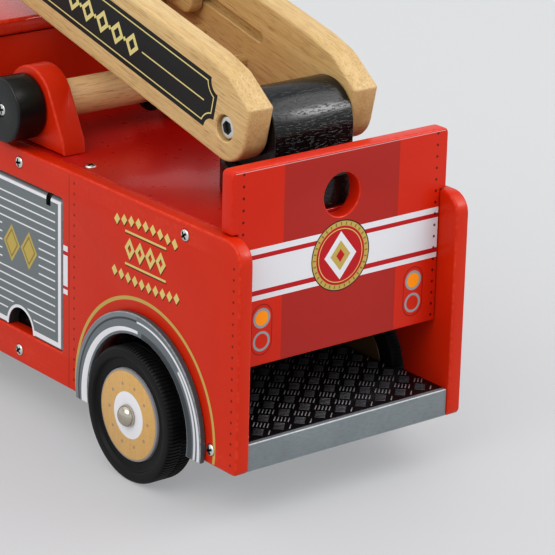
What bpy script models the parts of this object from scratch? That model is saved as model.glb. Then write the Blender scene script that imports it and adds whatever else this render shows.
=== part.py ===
"""Wooden toy fire engine: a painted board body on four rubber-tyred wheels, with two locker
doors, a hose reel, a lift-off cab roof and a swivelling, raising and extending ladder.

Stations: x runs forward from the rear end of the side panels, y to the engine's left and z up
from the underside of the side panels. The world origin is on the ground, below the middle.
"""

import math

import bmesh
import bpy
from mathutils import Matrix, Vector

# ---- driving dimensions, in metres --------------------------------------------------------

LENGTH = 0.292  # over the rear end of the side panels and the front bumper
SIDE_LENGTH = 0.288
WIDTH = 0.120  # over the outer faces of the side panels
BOARD = 0.0068
DECK_HEIGHT = 0.0984
CAB_HEIGHT = 0.1362
GAP = 0.0003  # between neighbouring pieces
HOLE_PLAY = 0.0003  # by which a hole's radius is larger than its rod's
CUT_REACH = 0.0020  # that a cutting shape stands out past the surface it cuts

WHEEL_RADIUS = 0.0295
AXLE_HEIGHT = 0.0075
REAR_AXLE_X = 0.0643
FRONT_AXLE_X = 0.236
AXLE_RADIUS = 0.0025
AXLE_CAP_RADIUS = 0.0048
AXLE_CAP_HEIGHT = 0.0040
HUB_RADIUS = 0.0202
HUB_FACE_Y = 0.0670
HUB_THICKNESS = 0.0141
HUB_EDGE = 0.0006
TYRE_FACE_Y = 0.0676
TYRE_WIDTH = 0.0149
ARCH_HEIGHT = 0.0064  # centre of the wheel arches and mudguards
ARCH_RADIUS = 0.0349
MUDGUARD_RADIUS = 0.0444
MUDGUARD_THICKNESS = 0.0028
AXLE_BLOCK_HALF_LENGTH = 0.0090
AXLE_BLOCK_HALF_WIDTH = 0.0460
AXLE_BLOCK_DROP = 0.0105  # from the axle to the underside of its block

REAR_PANEL_X = 0.0108
REAR_PANEL_THICKNESS = 0.0070
REAR_PANEL_TOP = 0.12505
REAR_PANEL_BOTTOM = 0.0409
REAR_PANEL_HALF = 0.0562
SIGHT_HOLE_RADIUS = 0.00925
SIGHT_HOLE_HEIGHT = 0.1060

STEP_X = 0.0013
STEP_END_X = 0.0850
STEP_TOP = 0.0126
STEP_RIM = 0.0022  # of the grey board behind the tread plate
TREAD_RECESS = 0.0012
WHEEL_CLEARANCE = 0.0010  # from the full width of the step to the rear wheels
WHEEL_WELL_HALF = 0.0505  # half width of boards that pass between the wheels

FLOOR_X = 0.0700  # the floor board laps the front end of the step board
FLOOR_WHEEL_CLEARANCE = 0.0035
FLOOR_BOTTOM = 0.0129
FLOOR_THICKNESS = 0.0060

DOOR_REAR_X = 0.1237
DOOR_FRONT_X = 0.1883
DOOR_BOTTOM = 0.0157
DOOR_HINGE_HEIGHT = 0.0812
DOOR_THICKNESS = 0.0054
DOOR_OUTER_Y = 0.0594
DOOR_PLAY = 0.0005  # round the door in its opening
DOOR_HEADROOM = 0.0033  # from the hinge to the top of the opening
FINGER_NOTCH_RADIUS = 0.0097
HINGE_ROD_RADIUS = 0.0010
HINGE_ROD_HALF = 0.0370
HINGE_SOCKET_HALF = 0.0375

BULKHEAD_X = 0.1100
BULKHEAD_THICKNESS = 0.0060

CAB_WALL_X = 0.1970
CAB_SIDE_X = 0.1940
CAB_FRONT_X = 0.2770
WINDOW_REAR_X = 0.2140
WINDOW_FRONT_X = 0.2660
WINDOW_BOTTOM = 0.0880
WINDOW_TOP = 0.1240
WINDOW_CORNER = 0.0070
WINDSCREEN_HALF = 0.0440
WINDSCREEN_BOTTOM = 0.0900
WINDSCREEN_TOP = 0.1260
WINDSCREEN_CORNER = 0.0060
BUMPER_BOTTOM = 0.0020
BUMPER_TOP = 0.0145
HEADLAMP_Y = 0.0360
HEADLAMP_HEIGHT = 0.0400
HEADLAMP_RADIUS = 0.0080
HEADLAMP_DEPTH = 0.0060
SEAT_DEPTH = 0.0280
SEAT_HEIGHT = 0.0260
SEAT_BACK_HEIGHT = 0.0540
SEAT_BACK_DEPTH = 0.0080
SEAT_HALF = 0.0460
ROOF_REAR_X = 0.1955
ROOF_FRONT_X = 0.2905
ROOF_CORNER = 0.0060
ROOF_THICKNESS = 0.0070
ROOF_HALF = 0.0610
LOCATOR_THICKNESS = 0.0040

REEL_X = 0.1620
REEL_HEIGHT = 0.1150
REEL_BRACKET_INNER_Y = 0.0386
REEL_BRACKET_THICKNESS = 0.0118
REEL_BRACKET_RADIUS = 0.0172
REEL_BRACKET_BASE_HALF = 0.0260
REEL_BRACKET_TANGENT = 28.0  # degrees above level where the round crown meets the flank
REEL_DOWEL_RADIUS = 0.00825
REEL_STUB_RADIUS = 0.0045
REEL_KNOB_RADIUS = 0.01425
REEL_KNOB_THICKNESS = 0.0143
HOSE_RADIUS = 0.0020
HOSE_TURNS = 6
HOSE_START_Y = -0.0095
NOZZLE_RADIUS = 0.0024
NOZZLE_HALF = 0.0075
NOZZLE_Y = 0.0005

PIVOT_X = 0.0464
PIVOT_HEIGHT = 0.1305
TURNTABLE_RADIUS = 0.0280
TURNTABLE_TOP = 0.1114
BLOCK_HALF_WIDTH = 0.0204
BLOCK_RADIUS = 0.0170
BLOCK_CROWN_DROP = 0.0029  # the block's crown is centred this far below the ladder's pivot
TURNTABLE_EDGE = 0.0012
BOLT_TOP_DROP = 0.0065  # from the ladder's pivot to the top of the turntable bolt
BOLT_HEAD_RADIUS = 0.0055
BOLT_HEAD_HEIGHT = 0.0030

LADDER_ELEVATION = math.radians(13.3)
RAIL_INNER_Y = 0.0210
RAIL_THICKNESS = 0.0125
RAIL_BELOW = 0.0139  # from the pivot to the rail's lower edge
RAIL_ABOVE = 0.0240
RAIL_REAR = 0.0137
RAIL_FRONT = 0.2000
RAIL_HEEL_CORNER = 0.0147  # height of the corner between the flat end and the nape
RAIL_NAPE_X = 0.0040
RAIL_NAPE_HEIGHT = 0.0225
RAIL_CREST_X = 0.0180
GROOVE_HEIGHT = 0.0078
GROOVE_WIDTH = 0.0044
GROOVE_DEPTH = 0.0036
GROOVE_START = 0.0485
GROOVE_END = 0.1950
RUNG_PITCH = 0.0300
RUNG_SOCKET = 0.0050
OUTER_RUNG_FIRST = 0.0585
OUTER_RUNG_HEIGHT = -0.0075
OUTER_RUNG_RADIUS = 0.0034
OUTER_RUNG_COUNT = 5

EXTENSION_START = 0.0900
EXTENSION_LENGTH = 0.1200
EXTENSION_RAIL_THICKNESS = 0.0070
EXTENSION_RAIL_HALF_HEIGHT = 0.0080
EXTENSION_RAIL_CORNER = 0.0050
EXTENSION_PLAY = 0.0005  # between the extension rails and the outer rails
EXTENSION_SOCKET = 0.0020
EXTENSION_RUNG_FIRST = 0.1030
EXTENSION_RUNG_COUNT = 4
EXTENSION_RUNG_RADIUS = 0.0030
GUIDE_COUNT = 2  # rungs whose ends run in the grooves
GUIDE_RADIUS = 0.0020

PIVOT_BOLT_HEAD_RADIUS = 0.00468
PIVOT_BOLT_HEAD_HEIGHT = 0.0026
PIVOT_BOLT_EDGE = 0.0004
COUNTERBORE_RADIUS = 0.0055
COUNTERBORE_DEPTH = 0.0032
HEX_ACROSS_FLATS = 0.0053
HEX_DEPTH = 0.0018

GROUND_CLEARANCE = WHEEL_RADIUS - AXLE_HEIGHT
INNER_Y = WIDTH / 2 - BOARD
BOARD_HALF = INNER_Y - GAP
HINGE_Y = DOOR_OUTER_Y - DOOR_THICKNESS / 2
FLOOR_TOP = FLOOR_BOTTOM + FLOOR_THICKNESS
DECK_TOP = DECK_HEIGHT - GAP
DECK_BOTTOM = DECK_TOP - BOARD

# ---- materials ----------------------------------------------------------------------------

PALETTE = {
    "signal_red_paint": ((0.56, 0.035, 0.016), 0.30, 0.0),
    "deck_red_paint": ((0.33, 0.012, 0.010), 0.22, 0.0),
    "grey_paint": ((0.19, 0.22, 0.23), 0.45, 0.0),
    "black_paint": ((0.010, 0.010, 0.012), 0.28, 0.0),
    "natural_wood": ((0.58, 0.36, 0.17), 0.55, 0.0),
    "hub_wood": ((0.62, 0.36, 0.12), 0.50, 0.0),
    "tyre_rubber": ((0.018, 0.018, 0.018), 0.65, 0.0),
    "hose_cord": ((0.015, 0.015, 0.015), 0.80, 0.0),
    "brass_fitting": ((0.70, 0.50, 0.20), 0.30, 1.0),
    "bright_steel": ((0.70, 0.70, 0.68), 0.22, 1.0),
    "tread_black": ((0.02, 0.02, 0.022), 0.40, 0.0),
}


def material(name):
    """The named paint, wood or metal, made on first use."""
    found = bpy.data.materials.get(name)
    if found:
        return found
    colour, roughness, metallic = PALETTE[name]
    made = bpy.data.materials.new(name)
    made.use_nodes = True
    surface = made.node_tree.nodes["Principled BSDF"]
    surface.inputs["Base Color"].default_value = (*colour, 1.0)
    surface.inputs["Roughness"].default_value = roughness
    surface.inputs["Metallic"].default_value = metallic
    made.diffuse_color = (*colour, 1.0)
    return made


# ---- modelling helpers --------------------------------------------------------------------


def clear_scene():
    for obj in list(bpy.data.objects):
        bpy.data.objects.remove(obj, do_unlink=True)


def empty(name, at, parent=None, turn_y=0.0):
    """A datum that pieces are parented to; it has no shape of its own."""
    made = bpy.data.objects.new(name, None)
    made.empty_display_size = 0.01
    made.parent = parent
    made.location = at
    made.rotation_euler = (0.0, turn_y, 0.0)
    bpy.context.scene.collection.objects.link(made)
    return made


def place(name, bm, paint, at=(0.0, 0.0, 0.0), parent=None, smooth=35.0):
    """Turns a bmesh into an object with one material, shaded smooth where it is round."""
    bmesh.ops.remove_doubles(bm, verts=bm.verts, dist=1e-7)
    bmesh.ops.recalc_face_normals(bm, faces=bm.faces)
    mesh = bpy.data.meshes.new(name)
    bm.to_mesh(mesh)
    bm.free()
    mesh.shade_smooth()
    mesh.set_sharp_from_angle(angle=math.radians(smooth))
    mesh.materials.append(material(paint))
    made = bpy.data.objects.new(name, mesh)
    made.parent = parent
    made.location = at
    bpy.context.scene.collection.objects.link(made)
    return made


def arc(cx, cz, radius, start_deg, end_deg, steps):
    """Points of a circular arc, both ends included."""
    points = []
    for i in range(steps + 1):
        angle = math.radians(start_deg + (end_deg - start_deg) * i / steps)
        points.append((cx + radius * math.cos(angle), cz + radius * math.sin(angle)))
    return points


def filleted(corners, steps=4):
    """A closed outline from (u, v, radius) corners, each rounded to its radius."""
    outline = []
    count = len(corners)
    for i, (u, v, radius) in enumerate(corners):
        here = Vector((u, v))
        if radius <= 0.0:
            outline.append((u, v))
            continue
        to_last = (Vector(corners[i - 1][:2]) - here).normalized()
        to_next = (Vector(corners[(i + 1) % count][:2]) - here).normalized()
        half = to_last.angle(to_next) / 2
        start = here + to_last * (radius / math.tan(half))
        end = here + to_next * (radius / math.tan(half))
        centre = here + (to_last + to_next).normalized() * (radius / math.sin(half))
        first = start - centre
        last = end - centre
        sweep = first.angle_signed(last)
        for k in range(steps + 1):
            turned = Matrix.Rotation(-sweep * k / steps, 2) @ first
            outline.append(tuple(centre + turned))
    return outline


def rectangle(u0, u1, v0, v1, radius=0.0, steps=3):
    return filleted(
        [(u0, v0, radius), (u1, v0, radius), (u1, v1, radius), (u0, v1, radius)], steps
    )


AXES = {"X": (1, 2, 0), "Y": (0, 2, 1), "Z": (0, 1, 2)}


def prism(outline, axis, low, high):
    """Extrudes a closed outline along an axis. The outline's two coordinates are the other
    two axes in X, Y, Z order."""
    first, second, along = AXES[axis]
    bm = bmesh.new()
    verts = []
    for u, v in outline:
        point = [0.0, 0.0, 0.0]
        point[first] = u
        point[second] = v
        point[along] = low
        verts.append(bm.verts.new(point))
    face = bm.faces.new(verts)
    grown = bmesh.ops.extrude_face_region(bm, geom=[face])
    shift = [0.0, 0.0, 0.0]
    shift[along] = high - low
    moved = [part for part in grown["geom"] if isinstance(part, bmesh.types.BMVert)]
    bmesh.ops.translate(bm, verts=moved, vec=shift)
    return bm


def turned(profile, axis="Y", steps=32):
    """Spins (radius, height) points round an axis: a closed ring if no point is on the axis,
    or a solid if the first and the last point are."""
    along = AXES[axis][2]
    across = AXES[axis][0]
    bm = bmesh.new()
    verts = []
    for radius, height in profile:
        point = [0.0, 0.0, 0.0]
        point[across] = radius
        point[along] = height
        verts.append(bm.verts.new(point))
    edges = [bm.edges.new(pair) for pair in zip(verts, verts[1:])]
    if profile[0][0] > 0.0:
        edges.append(bm.edges.new((verts[-1], verts[0])))
    direction = [0.0, 0.0, 0.0]
    direction[along] = 1.0
    bmesh.ops.spin(
        bm,
        geom=verts + edges,
        cent=(0.0, 0.0, 0.0),
        axis=direction,
        angle=2 * math.pi,
        steps=steps,
        use_merge=True,
    )
    bmesh.ops.remove_doubles(bm, verts=bm.verts, dist=1e-7)
    return bm


def rod(radius, low, high, axis="Y", steps=16):
    return turned([(0.0, low), (radius, low), (radius, high), (0.0, high)], axis, steps)


def bevel(obj, width, segments=1):
    """Breaks the sharp edges of a piece."""
    made = obj.modifiers.new("edges", "BEVEL")
    made.width = width
    made.segments = segments
    made.limit_method = "ANGLE"
    made.angle_limit = math.radians(50.0)
    return obj


def cut(obj, bm, at=(0.0, 0.0, 0.0), parent=None):
    """Cuts a shape out of a piece with a Boolean; the cutter is kept as a hidden helper."""
    tool = place(obj.name + "_cutter", bm, "grey_paint", at, parent)
    tool.hide_render = True
    tool.display_type = "WIRE"
    made = obj.modifiers.new("cut", "BOOLEAN")
    made.operation = "DIFFERENCE"
    made.object = tool
    made.solver = "EXACT"
    return obj


# ---- body boards --------------------------------------------------------------------------


def wheel_arch(centre_x):
    """The edge of a wheel arch, from the rear foot over the top to the front foot."""
    foot = math.degrees(math.asin(ARCH_HEIGHT / ARCH_RADIUS))
    return arc(centre_x, ARCH_HEIGHT, ARCH_RADIUS, 180.0 + foot, -foot, 20)


def side_outline():
    bottom = wheel_arch(REAR_AXLE_X) + wheel_arch(FRONT_AXLE_X)
    corners = [(0.0, 0.0, 0.003)]
    corners += [(x, z, 0.0) for x, z in bottom]
    corners += [
        (SIDE_LENGTH, 0.0, 0.003),
        (SIDE_LENGTH, CAB_HEIGHT, 0.012),
        (CAB_SIDE_X, CAB_HEIGHT, 0.004),
        (CAB_SIDE_X, DECK_HEIGHT, 0.005),
        (0.0, DECK_HEIGHT, 0.009),
    ]
    return filleted(corners)


def side_panel(name, side, datum):
    """One side of the body in a single board: arches, locker opening and cab window."""
    low, high = sorted((side * INNER_Y, side * WIDTH / 2))
    panel = place(name, prism(side_outline(), "Y", low, high), "signal_red_paint", parent=datum)
    bevel(panel, 0.0012)
    opening = rectangle(
        DOOR_REAR_X - DOOR_PLAY,
        DOOR_FRONT_X + DOOR_PLAY,
        DOOR_BOTTOM - DOOR_PLAY,
        DOOR_HINGE_HEIGHT + DOOR_HEADROOM,
        0.0015,
    )
    cut(panel, prism(opening, "Y", low - CUT_REACH, high + CUT_REACH), parent=datum)
    window = rectangle(WINDOW_REAR_X, WINDOW_FRONT_X, WINDOW_BOTTOM, WINDOW_TOP, WINDOW_CORNER)
    cut(panel, prism(window, "Y", low - CUT_REACH, high + CUT_REACH), parent=datum)
    socket = rod(HINGE_ROD_RADIUS + HOLE_PLAY, -HINGE_SOCKET_HALF, HINGE_SOCKET_HALF, "X", 12)
    middle = (DOOR_REAR_X + DOOR_FRONT_X) / 2
    cut(panel, socket, (middle, side * HINGE_Y, DOOR_HINGE_HEIGHT), datum)


def rear_panel(datum):
    """The upright tailboard: it stands between the sides and widens above them."""
    corners = [
        (-BOARD_HALF, REAR_PANEL_BOTTOM, 0.0),
        (BOARD_HALF, REAR_PANEL_BOTTOM, 0.0),
        (BOARD_HALF, DECK_HEIGHT + GAP, 0.0),
        (REAR_PANEL_HALF, DECK_HEIGHT + GAP, 0.0),
        (REAR_PANEL_HALF, REAR_PANEL_TOP, 0.004),
        (-REAR_PANEL_HALF, REAR_PANEL_TOP, 0.004),
        (-REAR_PANEL_HALF, DECK_HEIGHT + GAP, 0.0),
        (-BOARD_HALF, DECK_HEIGHT + GAP, 0.0),
    ]
    front = REAR_PANEL_X + REAR_PANEL_THICKNESS
    board = prism(filleted(corners), "X", REAR_PANEL_X, front)
    panel = place("rear_panel", board, "signal_red_paint", parent=datum)
    bevel(panel, 0.0008)
    hole = rod(SIGHT_HOLE_RADIUS, REAR_PANEL_X - CUT_REACH, front + CUT_REACH, "X", 28)
    cut(panel, hole, (0.0, 0.0, SIGHT_HOLE_HEIGHT), datum)


def step_plan(rear, half):
    """Plan of the step board or its tread plate: full width behind the wheels, then waisted."""
    well_x = REAR_AXLE_X - WHEEL_RADIUS - WHEEL_CLEARANCE
    right = [
        (rear, -half),
        (well_x, -half),
        (well_x, -WHEEL_WELL_HALF),
        (STEP_END_X, -WHEEL_WELL_HALF),
    ]
    return right + [(x, -y) for x, y in reversed(right)]


def rear_step(datum):
    """The step board, which the rear axle runs through, with a tread plate let into its top."""
    board = prism(step_plan(STEP_X, BOARD_HALF), "Z", GAP, STEP_TOP)
    step = place("rear_step", board, "grey_paint", parent=datum)
    recess_floor = STEP_TOP - TREAD_RECESS
    pocket_outline = rectangle(
        STEP_X + STEP_RIM, STEP_END_X + CUT_REACH, -BOARD_HALF - CUT_REACH, BOARD_HALF + CUT_REACH
    )
    cut(step, prism(pocket_outline, "Z", recess_floor, STEP_TOP + CUT_REACH), parent=datum)
    bore_half = WHEEL_WELL_HALF + CUT_REACH
    bore = rod(AXLE_RADIUS + HOLE_PLAY, -bore_half, bore_half)
    cut(step, bore, (REAR_AXLE_X, 0.0, AXLE_HEIGHT), datum)
    tread_plan = step_plan(STEP_X + STEP_RIM + GAP, BOARD_HALF)
    tread = prism(tread_plan, "Z", recess_floor + GAP, STEP_TOP)
    place("step_tread", tread, "tread_black", parent=datum)


def deck_board(datum):
    rear = REAR_PANEL_X + REAR_PANEL_THICKNESS + GAP
    outline = rectangle(rear, CAB_WALL_X - GAP, -BOARD_HALF, BOARD_HALF)
    deck = prism(outline, "Z", DECK_BOTTOM, DECK_TOP)
    board = place("deck_board", deck, "deck_red_paint", parent=datum)
    hole = rod(AXLE_RADIUS + HOLE_PLAY, DECK_BOTTOM - CUT_REACH, DECK_TOP + CUT_REACH, "Z")
    cut(board, hole, (PIVOT_X, 0.0, 0.0), datum)


def floor_board(datum):
    """The chassis board, waisted where it passes between each pair of wheels."""
    reach = WHEEL_RADIUS + FLOOR_WHEEL_CLEARANCE
    front_end = CAB_FRONT_X - GAP
    right = [
        (FLOOR_X, -WHEEL_WELL_HALF),
        (REAR_AXLE_X + reach, -WHEEL_WELL_HALF),
        (REAR_AXLE_X + reach, -BOARD_HALF),
        (FRONT_AXLE_X - reach, -BOARD_HALF),
        (FRONT_AXLE_X - reach, -WHEEL_WELL_HALF),
        (FRONT_AXLE_X + reach, -WHEEL_WELL_HALF),
        (FRONT_AXLE_X + reach, -BOARD_HALF),
        (front_end, -BOARD_HALF),
    ]
    left = [(x, -y) for x, y in reversed(right)]
    board = prism(right + left, "Z", FLOOR_BOTTOM, FLOOR_TOP)
    place("floor_board", board, "black_paint", parent=datum)


def upright_board(name, x, thickness, bottom, top, datum, paint="signal_red_paint"):
    outline = rectangle(-BOARD_HALF, BOARD_HALF, bottom, top)
    board = prism(outline, "X", x, x + thickness)
    return place(name, board, paint, parent=datum)


def locker_bulkhead(datum):
    """The upright board that closes the locker bay from the rear wheels."""
    bottom = FLOOR_TOP + GAP
    top = DECK_BOTTOM - GAP
    args = (BULKHEAD_X, BULKHEAD_THICKNESS, bottom, top, datum, "black_paint")
    upright_board("locker_bulkhead", *args)


def cab(datum):
    """Cab walls, seat, front trim and the lift-off roof."""
    wall_top = CAB_HEIGHT - GAP
    upright_board("cab_rear_wall", CAB_WALL_X, BOARD, FLOOR_TOP + GAP, wall_top, datum)
    front = upright_board("cab_front_panel", CAB_FRONT_X, BOARD, GAP, wall_top, datum)
    windscreen = rectangle(
        -WINDSCREEN_HALF, WINDSCREEN_HALF, WINDSCREEN_BOTTOM, WINDSCREEN_TOP, WINDSCREEN_CORNER
    )
    front_x = CAB_FRONT_X + BOARD
    cut(front, prism(windscreen, "X", CAB_FRONT_X - CUT_REACH, front_x + CUT_REACH), parent=datum)

    trim_x = front_x + GAP
    bumper_outline = filleted(
        [
            (trim_x, -BOARD_HALF, 0.0),
            (LENGTH, -BOARD_HALF, 0.004),
            (LENGTH, BOARD_HALF, 0.004),
            (trim_x, BOARD_HALF, 0.0),
        ]
    )
    bar = prism(bumper_outline, "Z", BUMPER_BOTTOM, BUMPER_TOP)
    bevel(place("front_bumper", bar, "grey_paint", parent=datum), 0.001)
    lamp_profile = [
        (0.0, 0.0),
        (HEADLAMP_RADIUS, 0.0),
        (HEADLAMP_RADIUS, 0.53 * HEADLAMP_DEPTH),
        (0.87 * HEADLAMP_RADIUS, 0.77 * HEADLAMP_DEPTH),
        (0.50 * HEADLAMP_RADIUS, 0.93 * HEADLAMP_DEPTH),
        (0.0, HEADLAMP_DEPTH),
    ]
    for name, side in (("headlamp_left", 1), ("headlamp_right", -1)):
        lamp = turned(lamp_profile, "X", 24)
        place(name, lamp, "bright_steel", (trim_x, side * HEADLAMP_Y, HEADLAMP_HEIGHT), datum)

    seat_x = CAB_WALL_X + BOARD + GAP
    seat_foot = FLOOR_TOP + GAP
    seat_outline = filleted(
        [
            (seat_x, seat_foot, 0.0),
            (seat_x + SEAT_DEPTH, seat_foot, 0.0),
            (seat_x + SEAT_DEPTH, seat_foot + SEAT_HEIGHT, 0.003),
            (seat_x + SEAT_BACK_DEPTH, seat_foot + SEAT_HEIGHT, 0.002),
            (seat_x + 0.75 * SEAT_BACK_DEPTH, seat_foot + SEAT_BACK_HEIGHT, 0.002),
            (seat_x, seat_foot + SEAT_BACK_HEIGHT, 0.0),
        ],
        3,
    )
    seat = prism(seat_outline, "Y", -SEAT_HALF, SEAT_HALF)
    place("cab_seat", seat, "natural_wood", parent=datum)

    roof_low = CAB_HEIGHT + GAP
    roof_outline = rectangle(ROOF_REAR_X, ROOF_FRONT_X, -ROOF_HALF, ROOF_HALF, ROOF_CORNER)
    roof = prism(roof_outline, "Z", roof_low, roof_low + ROOF_THICKNESS)
    bevel(place("cab_roof", roof, "signal_red_paint", parent=datum), 0.0012)
    locator_outline = rectangle(
        CAB_WALL_X + BOARD + 2 * GAP, CAB_FRONT_X - 2 * GAP, -BOARD_HALF + GAP, BOARD_HALF - GAP
    )
    locator_top = roof_low - GAP
    locator = prism(locator_outline, "Z", locator_top - LOCATOR_THICKNESS, locator_top)
    place("roof_locator", locator, "natural_wood", parent=datum)


# ---- wheels -------------------------------------------------------------------------------


def mudguard(name, side, centre_x, datum):
    """A flat arched guard glued to the outer face of the side panel."""
    outer_foot = math.degrees(math.asin(ARCH_HEIGHT / MUDGUARD_RADIUS))
    inner_foot = math.degrees(math.asin(ARCH_HEIGHT / ARCH_RADIUS))
    outer = arc(0.0, 0.0, MUDGUARD_RADIUS, -outer_foot, 180.0 + outer_foot, 22)
    inner = arc(0.0, 0.0, ARCH_RADIUS, 180.0 + inner_foot, -inner_foot, 22)
    low, high = sorted((side * GAP, side * (GAP + MUDGUARD_THICKNESS)))
    guard = prism(outer + inner, "Y", low, high)
    made = place(name, guard, "grey_paint", (centre_x, side * WIDTH / 2, ARCH_HEIGHT), datum)
    bevel(made, 0.0005)


def tyre_profile():
    """(radius, distance in from the tyre's face) round the section: a bead ring standing
    above the hub's face, a flat sidewall, and a square tread."""
    bore = HUB_RADIUS + GAP
    return [
        (bore, 0.0016),
        (0.0238, 0.0016),
        (0.0246, 0.0004),
        (0.0255, 0.0),
        (0.0285, 0.0),
        (0.0292, 0.0004),
        (WHEEL_RADIUS, 0.0012),
        (WHEEL_RADIUS, TYRE_WIDTH - 0.0022),
        (0.0285, TYRE_WIDTH - 0.0006),
        (0.0270, TYRE_WIDTH),
        (bore, TYRE_WIDTH),
    ]


def wheel(name, side, centre_x, datum):
    """A turned hub and its rubber tyre, both centred on the axle."""
    at = (centre_x, 0.0, AXLE_HEIGHT)
    bore = AXLE_RADIUS + HOLE_PLAY
    hub_inner = HUB_FACE_Y - HUB_THICKNESS
    hub = [
        (bore, side * HUB_FACE_Y),
        (HUB_RADIUS - HUB_EDGE, side * HUB_FACE_Y),
        (HUB_RADIUS, side * (HUB_FACE_Y - HUB_EDGE)),
        (HUB_RADIUS, side * hub_inner),
        (bore, side * hub_inner),
    ]
    place("hub_" + name, turned(hub, "Y", 32), "hub_wood", at, datum)
    section = [(radius, side * (TYRE_FACE_Y - inset)) for radius, inset in tyre_profile()]
    place("tyre_" + name, turned(section, "Y", 32), "tyre_rubber", at, datum)


def axle(name, centre_x, datum):
    """A steel rod with a domed cap at each end."""
    seat = HUB_FACE_Y + GAP
    half = [
        (AXLE_RADIUS, seat),
        (AXLE_CAP_RADIUS, seat),
        (0.95 * AXLE_CAP_RADIUS, seat + 0.36 * AXLE_CAP_HEIGHT),
        (0.74 * AXLE_CAP_RADIUS, seat + 0.72 * AXLE_CAP_HEIGHT),
        (0.40 * AXLE_CAP_RADIUS, seat + 0.94 * AXLE_CAP_HEIGHT),
        (0.0, seat + AXLE_CAP_HEIGHT),
    ]
    profile = [(radius, -y) for radius, y in reversed(half)] + half
    at = (centre_x, 0.0, AXLE_HEIGHT)
    place("axle_" + name, turned(profile, "Y", 16), "bright_steel", at, datum)


def axle_block(datum):
    """The wooden block under the floor board that the front axle runs through."""
    at = (FRONT_AXLE_X, 0.0, AXLE_HEIGHT)
    half = AXLE_BLOCK_HALF_LENGTH
    top = FLOOR_BOTTOM - GAP - AXLE_HEIGHT
    section = rectangle(-half, half, -AXLE_BLOCK_DROP, top, 0.0015, 2)
    block = prism(section, "Y", -AXLE_BLOCK_HALF_WIDTH, AXLE_BLOCK_HALF_WIDTH)
    made = place("axle_block_front", block, "natural_wood", at, datum)
    bore_half = AXLE_BLOCK_HALF_WIDTH + CUT_REACH
    cut(made, rod(AXLE_RADIUS + HOLE_PLAY, -bore_half, bore_half), at, datum)


# ---- lockers ------------------------------------------------------------------------------


def locker_door(name, side, datum):
    """A shutter that swings up on a rod through its rounded top edge."""
    half = DOOR_THICKNESS / 2
    drop = DOOR_HINGE_HEIGHT - DOOR_BOTTOM
    profile = arc(0.0, 0.0, half, 0.0, 180.0, 8) + [(-half, -drop), (half, -drop)]
    middle = (DOOR_REAR_X + DOOR_FRONT_X) / 2
    reach = (DOOR_FRONT_X - DOOR_REAR_X) / 2
    at = (middle, side * HINGE_Y, DOOR_HINGE_HEIGHT)
    leaf = prism(profile, "X", -reach, reach)
    door = place("locker_door_" + name, leaf, "grey_paint", at, datum)
    notch = rod(FINGER_NOTCH_RADIUS, -half - CUT_REACH, half + CUT_REACH, "Y", 24)
    cut(door, notch, (middle, side * HINGE_Y, DOOR_BOTTOM), datum)
    bore = rod(HINGE_ROD_RADIUS + HOLE_PLAY, -reach - CUT_REACH, reach + CUT_REACH, "X", 12)
    cut(door, bore, at, datum)
    hinge = rod(HINGE_ROD_RADIUS, -HINGE_ROD_HALF, HINGE_ROD_HALF, "X", 12)
    place("hinge_rod_" + name, hinge, "bright_steel", at, datum)


# ---- hose reel ----------------------------------------------------------------------------


def reel_bracket(name, side, datum):
    """A bell-shaped cheek that carries one end of the reel."""
    foot = DECK_TOP + GAP - REEL_HEIGHT
    tangent = REEL_BRACKET_TANGENT
    crown = arc(0.0, 0.0, REEL_BRACKET_RADIUS, tangent, 180.0 - tangent, 14)
    edge = crown[0]
    slope = math.tan(math.radians(tangent))
    flank_x = REEL_BRACKET_BASE_HALF - 0.0006  # just inside the foot's vertical edge
    flank_z = edge[1] - (flank_x - edge[0]) / slope
    outline = [(flank_x, flank_z)] + crown + [(-flank_x, flank_z)]
    outline += [(-REEL_BRACKET_BASE_HALF, foot), (REEL_BRACKET_BASE_HALF, foot)]
    inner = REEL_BRACKET_INNER_Y
    low, high = sorted((side * inner, side * (inner + REEL_BRACKET_THICKNESS)))
    at = (REEL_X, 0.0, REEL_HEIGHT)
    cheek = prism(outline, "Y", low, high)
    bracket = place("reel_bracket_" + name, cheek, "signal_red_paint", at, datum)
    bevel(bracket, 0.0010)
    bore = rod(REEL_STUB_RADIUS + HOLE_PLAY, low - CUT_REACH, high + CUT_REACH)
    cut(bracket, bore, at, datum)


def hose_path():
    """A helix of hose laid side by side round the dowel."""
    radius = REEL_DOWEL_RADIUS + GAP + HOSE_RADIUS
    pitch = 2 * HOSE_RADIUS + 0.0004
    per_turn = 16
    points = []
    for i in range(HOSE_TURNS * per_turn + 1):
        angle = 2 * math.pi * i / per_turn
        y = HOSE_START_Y - pitch * i / per_turn
        points.append((radius * math.cos(angle), y, radius * math.sin(angle)))
    return points


def hose_coil(at, datum):
    curve = bpy.data.curves.new("hose_coil", "CURVE")
    curve.dimensions = "3D"
    curve.bevel_depth = HOSE_RADIUS
    curve.bevel_resolution = 1
    curve.use_fill_caps = True
    points = hose_path()
    spline = curve.splines.new("POLY")
    spline.points.add(len(points) - 1)
    for point, co in zip(spline.points, points):
        point.co = (*co, 1.0)
    curve.materials.append(material("hose_cord"))
    coil = bpy.data.objects.new("hose_coil", curve)
    coil.parent = datum
    coil.location = at
    bpy.context.scene.collection.objects.link(coil)


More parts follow.
